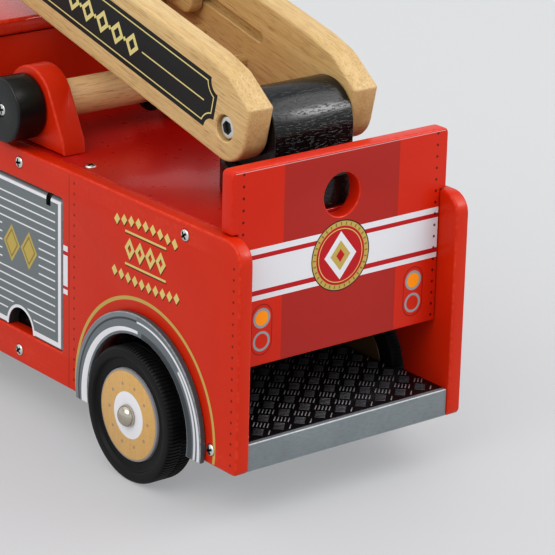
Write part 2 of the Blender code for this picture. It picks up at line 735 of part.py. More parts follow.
def hose_reel(datum):
    """The winding dowel with a knob at each end, the hose wound on it, and its nozzle."""
    at = (REEL_X, 0.0, REEL_HEIGHT)
    shoulder = REEL_BRACKET_INNER_Y - GAP
    outside = REEL_BRACKET_INNER_Y + REEL_BRACKET_THICKNESS + GAP
    half = [(REEL_DOWEL_RADIUS, shoulder), (REEL_STUB_RADIUS, shoulder)]
    half += [(REEL_STUB_RADIUS, outside), (0.0, outside)]
    profile = [(radius, -y) for radius, y in reversed(half)] + half
    place("reel_dowel", turned(profile, "Y", 24), "natural_wood", at, datum)
    face = outside + GAP + REEL_KNOB_THICKNESS
    for name, side in (("left", 1), ("right", -1)):
        edge = 0.0010
        knob = [
            (0.0, side * (outside + GAP)),
            (REEL_KNOB_RADIUS, side * (outside + GAP)),
            (REEL_KNOB_RADIUS, side * (face - edge)),
            (REEL_KNOB_RADIUS - edge, side * face),
            (0.0, side * face),
        ]
        place("reel_knob_" + name, turned(knob, "Y", 32), "black_paint", at, datum)
    hose_coil(at, datum)
    nozzle_profile = [
        (0.0, -NOZZLE_HALF),
        (NOZZLE_RADIUS, -NOZZLE_HALF),
        (NOZZLE_RADIUS, -0.4 * NOZZLE_HALF),
        (0.54 * NOZZLE_RADIUS, 0.66 * NOZZLE_HALF),
        (0.71 * NOZZLE_RADIUS, 0.82 * NOZZLE_HALF),
        (0.71 * NOZZLE_RADIUS, NOZZLE_HALF),
        (0.0, NOZZLE_HALF),
    ]
    radius = REEL_DOWEL_RADIUS + GAP + NOZZLE_RADIUS
    beside = (REEL_X + radius, NOZZLE_Y, REEL_HEIGHT)
    place("hose_nozzle", turned(nozzle_profile, "Y", 12), "brass_fitting", beside, datum)


# ---- turntable and ladder -----------------------------------------------------------------


def turntable(datum):
    """The swivelling disc, the block that carries the ladder, and the bolt under them."""
    low = DECK_TOP + GAP
    disc_profile = [
        (0.0, low),
        (TURNTABLE_RADIUS, low),
        (TURNTABLE_RADIUS, TURNTABLE_TOP - TURNTABLE_EDGE),
        (TURNTABLE_RADIUS - TURNTABLE_EDGE, TURNTABLE_TOP),
        (0.0, TURNTABLE_TOP),
    ]
    axis = empty("turntable_axis", (PIVOT_X, 0.0, 0.0), datum)
    hole = AXLE_RADIUS + HOLE_PLAY
    disc = place("turntable_disc", turned(disc_profile, "Z", 40), "black_paint", parent=axis)
    cut(disc, rod(hole, low - CUT_REACH, TURNTABLE_TOP + CUT_REACH, "Z"), parent=axis)
    crown = PIVOT_HEIGHT - BLOCK_CROWN_DROP
    foot = TURNTABLE_TOP + GAP
    outline = arc(0.0, crown, BLOCK_RADIUS, 0.0, 180.0, 20)
    outline += [(-BLOCK_RADIUS, foot), (BLOCK_RADIUS, foot)]
    solid = prism(outline, "Y", -BLOCK_HALF_WIDTH, BLOCK_HALF_WIDTH)
    block = place("turntable_block", solid, "black_paint", parent=axis)
    bolt_top = PIVOT_HEIGHT - BOLT_TOP_DROP
    cut(block, rod(hole, foot - CUT_REACH, bolt_top + GAP, "Z"), parent=axis)
    bore_half = BLOCK_HALF_WIDTH + CUT_REACH
    cut(block, rod(hole, -bore_half, bore_half), (0.0, 0.0, PIVOT_HEIGHT), axis)
    head_top = DECK_BOTTOM - GAP
    bolt_profile = [
        (0.0, bolt_top),
        (AXLE_RADIUS, bolt_top),
        (AXLE_RADIUS, head_top),
        (BOLT_HEAD_RADIUS, head_top),
        (BOLT_HEAD_RADIUS, head_top - BOLT_HEAD_HEIGHT),
        (0.0, head_top - BOLT_HEAD_HEIGHT),
    ]
    place("turntable_bolt", turned(bolt_profile, "Z", 16), "bright_steel", parent=axis)
    return empty("ladder_pivot", (0.0, 0.0, PIVOT_HEIGHT), axis, -LADDER_ELEVATION)


def rail_outline():
    """Side view of a ladder rail about the pivot: a round heel, a flat end and a sloped nape."""
    heel = arc(0.0, 0.0, RAIL_BELOW, -90.0, -180.0, 8)
    corners = [(x, z, 0.0) for x, z in heel[:-1]]
    corners += [
        (-RAIL_REAR, RAIL_HEEL_CORNER, 0.0015),
        (RAIL_NAPE_X, RAIL_NAPE_HEIGHT, 0.012),
        (RAIL_CREST_X, RAIL_ABOVE, 0.030),
        (RAIL_FRONT, RAIL_ABOVE, 0.010),
        (RAIL_FRONT, -RAIL_BELOW, 0.010),
    ]
    return filleted(corners, 4)


def ladder_rail(name, side, pivot):
    """One outer rail: grooved inside, counterbored outside for the pivot bolt's head."""
    inner = RAIL_INNER_Y - CUT_REACH
    outer = RAIL_INNER_Y + RAIL_THICKNESS + CUT_REACH
    low, high = sorted((side * RAIL_INNER_Y, side * (RAIL_INNER_Y + RAIL_THICKNESS)))
    solid = prism(rail_outline(), "Y", low, high)
    rail = place("ladder_rail_" + name, solid, "natural_wood", parent=pivot)
    bevel(rail, 0.0014)
    groove_outline = rectangle(
        GROOVE_START,
        GROOVE_END,
        GROOVE_HEIGHT - GROOVE_WIDTH / 2,
        GROOVE_HEIGHT + GROOVE_WIDTH / 2,
        GROOVE_WIDTH / 2 - 0.0001,
        4,
    )
    low, high = sorted((side * inner, side * (RAIL_INNER_Y + GROOVE_DEPTH)))
    cut(rail, prism(groove_outline, "Y", low, high), parent=pivot)
    low, high = sorted((side * inner, side * outer))
    cut(rail, rod(AXLE_RADIUS + HOLE_PLAY, low, high), parent=pivot)
    floor = RAIL_INNER_Y + RAIL_THICKNESS - COUNTERBORE_DEPTH
    low, high = sorted((side * floor, side * outer))
    cut(rail, rod(COUNTERBORE_RADIUS, low, high, "Y", 24), parent=pivot)
    low, high = sorted((side * inner, side * (RAIL_INNER_Y + RUNG_SOCKET)))
    for i in range(OUTER_RUNG_COUNT):
        x = OUTER_RUNG_FIRST + i * RUNG_PITCH
        drill = rod(OUTER_RUNG_RADIUS + HOLE_PLAY, low, high, "Y", 12)
        cut(rail, drill, (x, 0.0, OUTER_RUNG_HEIGHT), pivot)


def pivot_bolt(pivot):
    """The through bolt that the ladder tilts on, with a hexagon socket in each head."""
    seat = RAIL_INNER_Y + RAIL_THICKNESS - COUNTERBORE_DEPTH + GAP
    face = seat + PIVOT_BOLT_HEAD_HEIGHT
    half = [
        (AXLE_RADIUS, seat),
        (PIVOT_BOLT_HEAD_RADIUS, seat),
        (PIVOT_BOLT_HEAD_RADIUS, face - PIVOT_BOLT_EDGE),
        (PIVOT_BOLT_HEAD_RADIUS - PIVOT_BOLT_EDGE, face),
        (0.0, face),
    ]
    profile = [(radius, -y) for radius, y in reversed(half)] + half
    bolt = place("pivot_bolt", turned(profile, "Y", 20), "bright_steel", parent=pivot)
    socket = HEX_ACROSS_FLATS / math.sqrt(3.0)
    for side in (1, -1):
        low, high = sorted((side * (face - HEX_DEPTH), side * (face + CUT_REACH)))
        cut(bolt, rod(socket, low, high, "Y", 6), parent=pivot)


def extension_rail(name, side, pivot):
    """One inner rail; the first rungs pass through it, the others end inside it."""
    outer = RAIL_INNER_Y - EXTENSION_PLAY
    inner = outer - EXTENSION_RAIL_THICKNESS
    outline = rectangle(
        EXTENSION_START,
        EXTENSION_START + EXTENSION_LENGTH,
        GROOVE_HEIGHT - EXTENSION_RAIL_HALF_HEIGHT,
        GROOVE_HEIGHT + EXTENSION_RAIL_HALF_HEIGHT,
        EXTENSION_RAIL_CORNER,
    )
    low, high = sorted((side * inner, side * outer))
    solid = prism(outline, "Y", low, high)
    rail = place("extension_rail_" + name, solid, "natural_wood", parent=pivot)
    for i in range(EXTENSION_RUNG_COUNT):
        x = EXTENSION_RUNG_FIRST + i * RUNG_PITCH
        reach = outer + CUT_REACH if i < GUIDE_COUNT else outer - EXTENSION_SOCKET
        low, high = sorted((side * (inner - CUT_REACH), side * reach))
        drill = rod(EXTENSION_RUNG_RADIUS + HOLE_PLAY, low, high, "Y", 12)
        cut(rail, drill, (x, 0.0, GROOVE_HEIGHT), pivot)


def rungs(pivot):
    """Fixed rungs across the outer rails, and the extension's rungs. The extension's first
    two have slimmer ends that run in the grooves of the outer rails."""
    half = RAIL_INNER_Y + RUNG_SOCKET - GAP
    for i in range(OUTER_RUNG_COUNT):
        at = (OUTER_RUNG_FIRST + i * RUNG_PITCH, 0.0, OUTER_RUNG_HEIGHT)
        rung = rod(OUTER_RUNG_RADIUS, -half, half, "Y", 12)
        place(f"outer_rung_{i + 1}", rung, "natural_wood", at, pivot)
    shoulder = RAIL_INNER_Y - EXTENSION_PLAY
    for i in range(EXTENSION_RUNG_COUNT):
        at = (EXTENSION_RUNG_FIRST + i * RUNG_PITCH, 0.0, GROOVE_HEIGHT)
        if i < GUIDE_COUNT:
            tip = RAIL_INNER_Y + GROOVE_DEPTH - GAP
            side = [(EXTENSION_RUNG_RADIUS, shoulder), (GUIDE_RADIUS, shoulder)]
            side += [(GUIDE_RADIUS, tip), (0.0, tip)]
        else:
            end = shoulder - EXTENSION_SOCKET - GAP
            side = [(EXTENSION_RUNG_RADIUS, end), (0.0, end)]
        profile = [(radius, -y) for radius, y in reversed(side)] + side
        place(f"extension_rung_{i + 1}", turned(profile, "Y", 12), "natural_wood", at, pivot)


# ---- assembly -----------------------------------------------------------------------------


def build():
    clear_scene()
    datum = empty("body_datum", (-LENGTH / 2, 0.0, GROUND_CLEARANCE))
    for name, side in (("left", 1), ("right", -1)):
        side_panel("side_panel_" + name, side, datum)
        locker_door(name, side, datum)
        reel_bracket(name, side, datum)
        mudguard("mudguard_rear_" + name, side, REAR_AXLE_X, datum)
        mudguard("mudguard_front_" + name, side, FRONT_AXLE_X, datum)
        wheel("rear_" + name, side, REAR_AXLE_X, datum)
        wheel("front_" + name, side, FRONT_AXLE_X, datum)
    rear_panel(datum)
    rear_step(datum)
    deck_board(datum)
    floor_board(datum)
    locker_bulkhead(datum)
    cab(datum)
    axle("rear", REAR_AXLE_X, datum)
    axle("front", FRONT_AXLE_X, datum)
    axle_block(datum)
    hose_reel(datum)
    pivot = turntable(datum)
    for name, side in (("left", 1), ("right", -1)):
        ladder_rail(name, side, pivot)
        extension_rail(name, side, pivot)
    pivot_bolt(pivot)
    rungs(pivot)
    bpy.context.view_layer.update()


build()
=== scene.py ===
import math

import bmesh
import bpy
import numpy as np
from mathutils import Matrix, Vector, noise
from mathutils.geometry import tessellate_polygon


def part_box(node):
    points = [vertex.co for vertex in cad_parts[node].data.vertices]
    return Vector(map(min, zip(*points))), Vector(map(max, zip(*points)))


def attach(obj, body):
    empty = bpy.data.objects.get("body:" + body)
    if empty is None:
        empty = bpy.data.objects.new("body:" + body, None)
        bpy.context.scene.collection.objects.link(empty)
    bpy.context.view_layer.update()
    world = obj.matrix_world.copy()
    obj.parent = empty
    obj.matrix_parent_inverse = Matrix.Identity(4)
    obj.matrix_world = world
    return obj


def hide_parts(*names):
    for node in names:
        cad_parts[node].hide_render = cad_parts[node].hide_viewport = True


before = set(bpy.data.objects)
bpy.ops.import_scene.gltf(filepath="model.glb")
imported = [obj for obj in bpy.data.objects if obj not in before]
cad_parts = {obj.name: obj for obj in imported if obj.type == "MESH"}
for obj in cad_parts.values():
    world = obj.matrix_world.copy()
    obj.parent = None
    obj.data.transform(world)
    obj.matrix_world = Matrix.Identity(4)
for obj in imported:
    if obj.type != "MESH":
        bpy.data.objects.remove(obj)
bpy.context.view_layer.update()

# Finished looks of the wooden toy fire engine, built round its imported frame.
#
# Lengths are in millimetres. Stations run forward (x) from the rear end of the side panels,
# to the engine's left (y) and up (z) from the underside of the side panels.

# ---- stations and driving dimensions --------------------------------------------------------

MM = 0.001
PANEL_LOW, PANEL_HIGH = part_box("side_panel_left")
ORIGIN = Vector((PANEL_LOW.x, 0.0, PANEL_LOW.z))
BODY = Matrix.Translation(ORIGIN) @ Matrix.Scale(MM, 4)

SIDES = (("left", 1), ("right", -1))
AXLES = (("rear", 64.3), ("front", 236.0))

SIDE_LENGTH = 288.0
HALF_WIDTH = 60.0
BOARD = 6.8
INNER_Y = HALF_WIDTH - BOARD
BOARD_HALF = INNER_Y - 0.3
DECK_HEIGHT = 98.4
DECK_TOP = 98.1
DECK_BOTTOM = DECK_TOP - BOARD
CAB_HEIGHT = 136.2
CAB_SIDE_X = 194.0
CAB_WALL_X = 197.0
CAB_FRONT_X = 277.0
FLOOR_TOP = 18.9

AXLE_HEIGHT = 7.5
AXLE_RADIUS = 2.5
CAP_RADIUS = 4.8
CAP_HEIGHT = 4.0
HUB_RADIUS = 20.2
HUB_FACE_Y = 67.0
HUB_INNER_Y = 52.9
TYRE_FACE_Y = 67.6
ARCH_HEIGHT = 6.4
ARCH_RADIUS = 34.9
MUDGUARD_RADIUS = 44.4
MUDGUARD_FACE_Y = 63.1
TREAD_RIBS = 110

REAR_PANEL_X = 10.8
REAR_PANEL_THICKNESS = 7.0
REAR_PANEL_TOP = 125.05
REAR_PANEL_BOTTOM = 40.9
REAR_PANEL_HALF = 56.2
SIGHT_HOLE_RADIUS = 9.25
SIGHT_HOLE_HEIGHT = 106.0

STEP_X = 1.3
STEP_END_X = 85.0
STEP_TOP = 12.6
STEP_RIM = 2.2
WHEEL_WELL_X = 33.8
WHEEL_WELL_HALF = 50.5

DOOR_REAR_X = 123.7
DOOR_FRONT_X = 188.3
DOOR_MIDDLE_X = (DOOR_REAR_X + DOOR_FRONT_X) / 2
DOOR_BOTTOM = 15.7
DOOR_HINGE_HEIGHT = 81.2
DOOR_OUTER_Y = 59.4
DOOR_THICKNESS = 5.4
NOTCH_RADIUS = 9.7
SLOT_X = 134.3
SLOT_HALF = 1.7
SLOT_BOTTOM = 78.6

REEL_X = 162.0
REEL_HEIGHT = 115.0
BRACKET_INNER_Y = 38.6
BRACKET_OUTER_Y = 50.4
BRACKET_RADIUS = 17.2
BRACKET_BASE_HALF = 26.0
DOWEL_RADIUS = 8.25
KNOB_RADIUS = 14.25
KNOB_INNER_Y = 51.0
KNOB_FACE_Y = 65.3
HOSE_RADIUS = 2.0
HOSE_TURNS = 6
HOSE_START_Y = -9.5

PIVOT_X = 46.4
PIVOT_HEIGHT = 130.5
TURNTABLE_RADIUS = 28.0
TURNTABLE_TOP = 111.4
BLOCK_RADIUS = 17.0
BLOCK_HALF_WIDTH = 20.4
BLOCK_CROWN = PIVOT_HEIGHT - 2.9

ELEVATION = math.radians(13.3)
LADDER = BODY @ Matrix.Translation((PIVOT_X, 0.0, PIVOT_HEIGHT)) @ Matrix.Rotation(-ELEVATION, 4, "Y")
RAIL_INNER_Y = 21.0
RAIL_OUTER_Y = 33.5
RAIL_BELOW = 13.9
RAIL_ABOVE = 24.0
RAIL_REAR = 13.7
RAIL_FRONT = 200.0
GROOVE_HEIGHT = 7.8
GROOVE_HALF = 2.2
GROOVE_START = 48.5
GROOVE_END = 195.0
GROOVE_DEPTH = 3.6
COUNTERBORE_DEPTH = 4.4
RUNG_PITCH = 30.0
OUTER_RUNG_FIRST = 58.5
OUTER_RUNG_HEIGHT = -7.5

# ---- mesh helpers ---------------------------------------------------------------------------

AXIS_ORDER = {"X": (1, 2, 0), "Y": (0, 2, 1), "Z": (0, 1, 2)}


def arc(cx, cz, radius, start, end, steps):
    """Points of a circular arc between two angles in degrees, both ends included."""
    angles = np.radians(np.linspace(start, end, steps + 1))
    return [(cx + radius * math.cos(a), cz + radius * math.sin(a)) for a in angles]


def circle(cx, cz, radius, steps=48):
    return arc(cx, cz, radius, 0.0, 360.0, steps)[:-1]


def rounded(corners, steps=6):
    """A closed outline from (u, v, radius) corners."""
    outline = []
    count = len(corners)
    for i, (u, v, radius) in enumerate(corners):
        if radius <= 0.0:
            outline.append((u, v))
            continue
        here = Vector((u, v))
        to_last = (Vector(corners[i - 1][:2]) - here).normalized()
        to_next = (Vector(corners[(i + 1) % count][:2]) - here).normalized()
        half = to_last.angle(to_next) / 2
        start = here + to_last * (radius / math.tan(half))
        end = here + to_next * (radius / math.tan(half))
        centre = here + (to_last + to_next).normalized() * (radius / math.sin(half))
        first = start - centre
        sweep = first.angle_signed(end - centre)
        for k in range(steps + 1):
            outline.append(tuple(centre + Matrix.Rotation(-sweep * k / steps, 2) @ first))
    return outline


def rectangle(u0, u1, v0, v1, radius=0.0, steps=6):
    corners = [(u0, v0, radius), (u1, v0, radius), (u1, v1, radius), (u0, v1, radius)]
    return rounded(corners, steps)


def oriented(outline, anticlockwise):
    points = np.array(outline, float)
    after = np.roll(points, -1, axis=0)
    area = float(np.sum(points[:, 0] * after[:, 1] - after[:, 0] * points[:, 1]))
    return points if (area > 0) == anticlockwise else points[::-1]


def inset(points, distance):
    """Moves an outline towards the board it bounds, mitring each corner."""
    def normals(edges):
        unit = edges / np.linalg.norm(edges, axis=1, keepdims=True)
        return np.stack([-unit[:, 1], unit[:, 0]], axis=1)

    last = normals(points - np.roll(points, 1, axis=0))
    following = normals(np.roll(points, -1, axis=0) - points)
    mitre = (last + following) / (1.0 + np.sum(last * following, axis=1))[:, None]
    return points + distance * mitre


def plate(outline, axis, low, high, edge=0.8, holes=(), steps=4, flare=0.0):
    """A board: an outline with holes, extruded along an axis, with every rim rounded. With a
    flare the rims spread outwards instead, which suits a cutter."""
    first, second, along = AXIS_ORDER[axis]
    loops = [oriented(outline, True)] + [oriented(hole, False) for hole in holes]
    rim = []
    for k in range(steps + 1):
        turn = math.radians(90.0 * k / steps)
        rim.append((edge * (1 - math.sin(turn)), edge * (1 - math.cos(turn)), math.sin(2 * turn)))
    if edge <= 0.0:
        rim = [(0.0, 0.0, 0.0)]
    rings = [(shift, low + rise, wear) for shift, rise, wear in rim]
    rings += [(shift, high - rise, wear) for shift, rise, wear in reversed(rim)]
    if flare:
        rings = [(0.0, low, 0.0), (0.0, high - flare, 0.0), (-flare, high, 0.0), (-flare, high + 1.0, 0.0)]
    bm = bmesh.new()
    wear_layer = bm.verts.layers.float.new("edge")
    caps = ([], [])
    for loop in loops:
        grown = []
        for shift, level, wear in rings:
            row = []
            for u, v in inset(loop, shift):
                point = [0.0, 0.0, 0.0]
                point[first], point[second], point[along] = u, v, level
                vert = bm.verts.new(point)
                vert[wear_layer] = wear
                row.append(vert)
            grown.append(row)
        for lower, upper in zip(grown, grown[1:]):
            for i in range(len(lower)):
                j = (i + 1) % len(lower)
                bm.faces.new((lower[i], lower[j], upper[j], upper[i])).smooth = True
        caps[0].append(grown[0])
        caps[1].append(grown[-1])
    for cap in caps:
        flat = [vert for row in cap for vert in row]
        polygons = [[Vector((v.co[first], v.co[second], 0.0)) for v in row] for row in cap]
        for triangle in tessellate_polygon(polygons):
            bm.faces.new([flat[i] for i in triangle]).smooth = False
    return bm


def lathe(profile, axis="Y", centre=(0.0, 0.0, 0.0), steps=64):
    """Turns (radius, height) points round an axis. A point on the axis closes the shape;
    without one the profile is a ring."""
    first, second, along = AXIS_ORDER[axis]
    bm = bmesh.new()
    bm.verts.layers.float.new("edge")
    rows = []
    for radius, height in profile:
        row = []
        for k in range(1 if radius == 0.0 else steps):
            turn = 2 * math.pi * k / steps
            point = list(centre)
            point[first] += radius * math.cos(turn)
            point[second] += radius * math.sin(turn)
            point[along] += height
            row.append(bm.verts.new(point))
        rows.append(row)
    pairs = list(zip(rows, rows[1:]))
    if profile[0][0] > 0.0:
        pairs.append((rows[-1], rows[0]))
    for lower, upper in pairs:
        for k in range(steps):
            corners = []
            for vert in (
                lower[k % len(lower)],
                lower[(k + 1) % len(lower)],
                upper[(k + 1) % len(upper)],
                upper[k % len(upper)],
            ):
                if vert not in corners:
                    corners.append(vert)
            if len(corners) > 2:
                bm.faces.new(corners).smooth = True
    return bm


def softened(profile, radius, steps=3):
    """Rounds the corners of a lathe profile, leaving its two ends."""
    result = [profile[0]]
    for last, here, following in zip(profile, profile[1:], profile[2:]):
        corner = Vector(here)
        back = Vector(last) - corner
        ahead = Vector(following) - corner
        cut = min(radius, back.length / 2.2, ahead.length / 2.2)
        start = corner + back.normalized() * cut
        end = corner + ahead.normalized() * cut
        for k in range(steps + 1):
            t = k / steps
            result.append(tuple(start * (1 - t) ** 2 + corner * 2 * t * (1 - t) + end * t ** 2))
    result.append(profile[-1])
    return result


def mirrored_profile(half):
    """A profile symmetric about the middle from its positive half, outermost point last."""
    return [(radius, -height) for radius, height in reversed(half)] + list(half)


def as_object(bm):
    mesh = bpy.data.meshes.new("working")
    bm.to_mesh(mesh)
    bm.free()
    made = bpy.data.objects.new("working", mesh)
    bpy.context.scene.collection.objects.link(made)
    return made


def joined(parts):
    """Several shapes as one bmesh."""
    whole = bmesh.new()
    for part in parts:
        mesh = bpy.data.meshes.new("joining")
        part.to_mesh(mesh)
        part.free()
        whole.from_mesh(mesh)
        bpy.data.meshes.remove(mesh)
    return whole


def carved(bm, cutters):
    """Cuts closed shapes out of a closed shape."""
    bmesh.ops.recalc_face_normals(bm, faces=bm.faces)
    tool_shape = joined(cutters)
    bmesh.ops.recalc_face_normals(tool_shape, faces=tool_shape.faces)
    board = as_object(bm)
    tool = as_object(tool_shape)
    cut = board.modifiers.new("cut", "BOOLEAN")
    cut.operation = "DIFFERENCE"
    cut.solver = "EXACT"
    cut.object = tool
    bpy.context.view_layer.update()
    graph = bpy.context.evaluated_depsgraph_get()
    shaped = bmesh.new()
    shaped.from_mesh(board.evaluated_get(graph).data)
    bpy.data.objects.remove(board)
    bpy.data.objects.remove(tool)
    return shaped


def darkened(bm, inside):
    """Marks the vertices of a hollow so that metal() paints it near black as painted shade."""
    layer = bm.verts.layers.float.get("edge") or bm.verts.layers.float.new("edge")
    for vert in bm.verts:
        if inside(vert.co):
            vert[layer] = 1.0
    return bm


def moved(bm, matrix):
    bm.transform(matrix)
    return bm


def piece(name, bm, body, paint, stands_for=(), datum=BODY, crease=38.0):
    """Turns a shape into a named piece that rides on a body of the frame."""
    bmesh.ops.remove_doubles(bm, verts=bm.verts, dist=1e-4)
    bmesh.ops.recalc_face_normals(bm, faces=bm.faces)
    bm.transform(datum)
    mesh = bpy.data.meshes.new(name)
    bm.to_mesh(mesh)
    bm.free()
    mesh.set_sharp_from_angle(angle=math.radians(crease))
    mesh.materials.append(paint)
    made = bpy.data.objects.new(name, mesh)
    bpy.context.scene.collection.objects.link(made)
    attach(made, body)
    if stands_for:
        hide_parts(*stands_for)
    return made


# ---- shader helpers -------------------------------------------------------------------------


def rgb(red, green, blue):
    """A display colour, 0 to 255 a channel, as scene light."""
    def channel(value):
        share = value / 255.0
        return share / 12.92 if share <= 0.04045 else ((share + 0.055) / 1.055) ** 2.4

    return (channel(red), channel(green), channel(blue), 1.0)


class Value:
    """A number worked out by shader nodes; ordinary arithmetic builds the nodes."""

    def __init__(self, shade, socket):
        self.shade = shade
        self.socket = socket

    def _math(self, operation, *others, clamp=False):
        node = self.shade.node("ShaderNodeMath")
        node.operation = operation
        node.use_clamp = clamp
        for slot, value in zip(node.inputs, (self,) + others):
            self.shade.feed(slot, value)
        return Value(self.shade, node.outputs[0])

    def __add__(self, other):
        return self._math("ADD", other)

    __radd__ = __add__

    def __mul__(self, other):
        return self._math("MULTIPLY", other)

    __rmul__ = __mul__

    def __sub__(self, other):
        return self._math("SUBTRACT", other)

    def __rsub__(self, other):
        return self._math("MULTIPLY_ADD", -1.0, other)

    def __truediv__(self, other):
        return self._math("DIVIDE", other)

    def __abs__(self):
        return self._math("ABSOLUTE")

    def __pow__(self, other):
        return self._math("POWER", other)

    def least(self, other):
        return self._math("MINIMUM", other)

    def most(self, other):
        return self._math("MAXIMUM", other)

    def fraction(self):
        return self._math("FRACT")

    def sine(self):
        return self._math("SINE")

    def clamped(self):
        return self._math("ADD", 0.0, clamp=True)

    def above(self, edge, soft=0.06):
        """1 where the value is over the edge, with a soft step."""
        return ((self - edge) * (0.5 / soft))._math("ADD", 0.5, clamp=True)

    def below(self, edge, soft=0.06):
        return ((self - edge) * (-0.5 / soft))._math("ADD", 0.5, clamp=True)

    def within(self, low, high, soft=0.06):
        middle = (low + high) / 2
        return abs(self - middle).below((high - low) / 2, soft)

    def repeated(self, start, pitch):
        """Distance from the nearest of a row of marks a pitch apart."""
        return (((self - start) / pitch + 0.5).fraction() - 0.5) * pitch


class Shade:
    """Builds one node material."""

    def __init__(self, name):
        self.material = bpy.data.materials.new(name)
        self.material.use_nodes = True
        self.tree = self.material.node_tree
        self.surface = self.tree.nodes["Principled BSDF"]

    def node(self, kind):
        return self.tree.nodes.new(kind)

    def feed(self, slot, value):
        if isinstance(value, Value):
            self.tree.links.new(value.socket, slot)
        elif hasattr(value, "is_output"):
            self.tree.links.new(value, slot)
        else:
            slot.default_value = value

    def stations(self, ladder=False):
        """Body stations in millimetres, or the ladder's own stations from its pivot."""
        place = self.node("ShaderNodeTexCoord")
        shift = self.node("ShaderNodeVectorMath")
        shift.operation = "SUBTRACT"
        self.feed(shift.inputs[0], place.outputs["Object"])
        origin = LADDER.translation if ladder else ORIGIN
        shift.inputs[1].default_value = origin
        vector = shift.outputs[0]
        if ladder:
            turn = self.node("ShaderNodeVectorRotate")
            turn.rotation_type = "Y_AXIS"
            turn.inputs["Angle"].default_value = ELEVATION
            self.feed(turn.inputs["Vector"], vector)
            vector = turn.outputs[0]
        scale = self.node("ShaderNodeVectorMath")
        scale.operation = "SCALE"
        scale.inputs["Scale"].default_value = 1 / MM
        self.feed(scale.inputs[0], vector)
        self.place = scale.outputs[0]
        parts = self.node("ShaderNodeSeparateXYZ")
        self.feed(parts.inputs[0], self.place)
        return [Value(self, output) for output in parts.outputs]

    def stretched(self, stretch, offset=(0.0, 0.0, 0.0)):
        node = self.node("ShaderNodeVectorMath")
        node.operation = "MULTIPLY_ADD"
        self.feed(node.inputs[0], self.place)
        node.inputs[1].default_value = stretch
        node.inputs[2].default_value = offset
        return node.outputs[0]

    def noise(self, scale, stretch=(1.0, 1.0, 1.0), detail=3.0, roughness=0.55, offset=(0.0, 0.0, 0.0)):
        node = self.node("ShaderNodeTexNoise")
        self.feed(node.inputs["Vector"], self.stretched(stretch, offset))
        node.inputs["Scale"].default_value = scale
        node.inputs["Detail"].default_value = detail
        node.inputs["Roughness"].default_value = roughness
        return Value(self, node.outputs[0])

    def attribute(self, name):
        node = self.node("ShaderNodeAttribute")
        node.attribute_name = name
        return Value(self, node.outputs["Fac"])

    def mix(self, share, first, second):
        node = self.node("ShaderNodeMix")
        node.data_type = "RGBA"
        self.feed(node.inputs[0], share)
        self.feed(node.inputs[6], first)
        self.feed(node.inputs[7], second)
        return node.outputs[2]

    def bump(self, height, distance):
        """A bump whose height is a share of a distance in millimetres."""
        node = self.node("ShaderNodeBump")
        node.inputs["Distance"].default_value = distance * MM
        self.feed(node.inputs["Height"], height)
        self.feed(self.surface.inputs["Normal"], node.outputs[0])

    def finish(self, colour, roughness, metallic=0.0, coat=0.0, coat_roughness=0.1, specular=0.5):
        self.feed(self.surface.inputs["Base Color"], colour)
        self.feed(self.surface.inputs["Roughness"], roughness)
        self.feed(self.surface.inputs["Metallic"], metallic)
        self.feed(self.surface.inputs["Coat Weight"], coat)
        self.feed(self.surface.inputs["Coat Roughness"], coat_roughness)
        self.feed(self.surface.inputs["Specular IOR Level"], specular)
        return self.material


# ---- colours --------------------------------------------------------------------------------

RED = rgb(196, 45, 10)
RED_SHADE = rgb(176, 26, 12)
REAR_RED = rgb(200, 42, 12)
BAND_RED = rgb(166, 40, 32)
CRIMSON = rgb(178, 24, 30)
DARK_LINE = rgb(66, 6, 6)
ARCH_PAINTED_SHADE = rgb(34, 8, 8)
DECK_RED = rgb(176, 24, 16)
WHITE = rgb(216, 216, 220)
GOLD = rgb(186, 160, 86)
GOLD_LIGHT = rgb(206, 188, 116)
SHADOW_INK = rgb(50, 26, 16)
GREY = rgb(106, 113, 116)
GREY_LIGHT = rgb(146, 154, 158)
GREY_DARK = rgb(56, 61, 65)
INK = rgb(16, 16, 18)
AMBER = rgb(250, 150, 10)

# The tread pattern is a lattice: columns half a pitch apart, every other one turned and offset.
TREAD_X = -1.0
TREAD_Y = -1.6
TREAD_HALF_PITCH_X = 5.15
TREAD_HALF_PITCH_Y = 5.425

# ---- printed ornament -----------------------------------------------------------------------


def lozenge(x, z, cx, cz, half_width, half_height, soft=0.08):
    reach = abs(x - cx) / half_width + abs(z - cz) / half_height
    return ((1.0 - reach) * (0.5 * min(half_width, half_height) / soft) + 0.5).clamped()


def lozenge_row(x, z, start, pitch, count, cz, half_width, half_height):
    """A row of lozenges along x, all at the height cz."""
    local = x.repeated(start, pitch)
    row = lozenge(local, z, 0.0, cz, half_width, half_height)
    return row * x.within(start - pitch / 2, start + pitch * (count - 0.5))


def rivets(x, z, column, top, bottom, pitch, radius=0.6):
    """A column of small round marks, counted down from the top."""
    rise = z.repeated(top, pitch)
    across = x - column
    gap = (rise * rise + across * across) ** 0.5
    return gap.below(radius, 0.12) * z.within(bottom, top + 1.0)


def ring(x, z, cx, cz, inner, outer, soft=0.08):
    across = x - cx
    rise = z - cz
    radius = (across * across + rise * rise) ** 0.5
    return radius.within(inner, outer, soft)


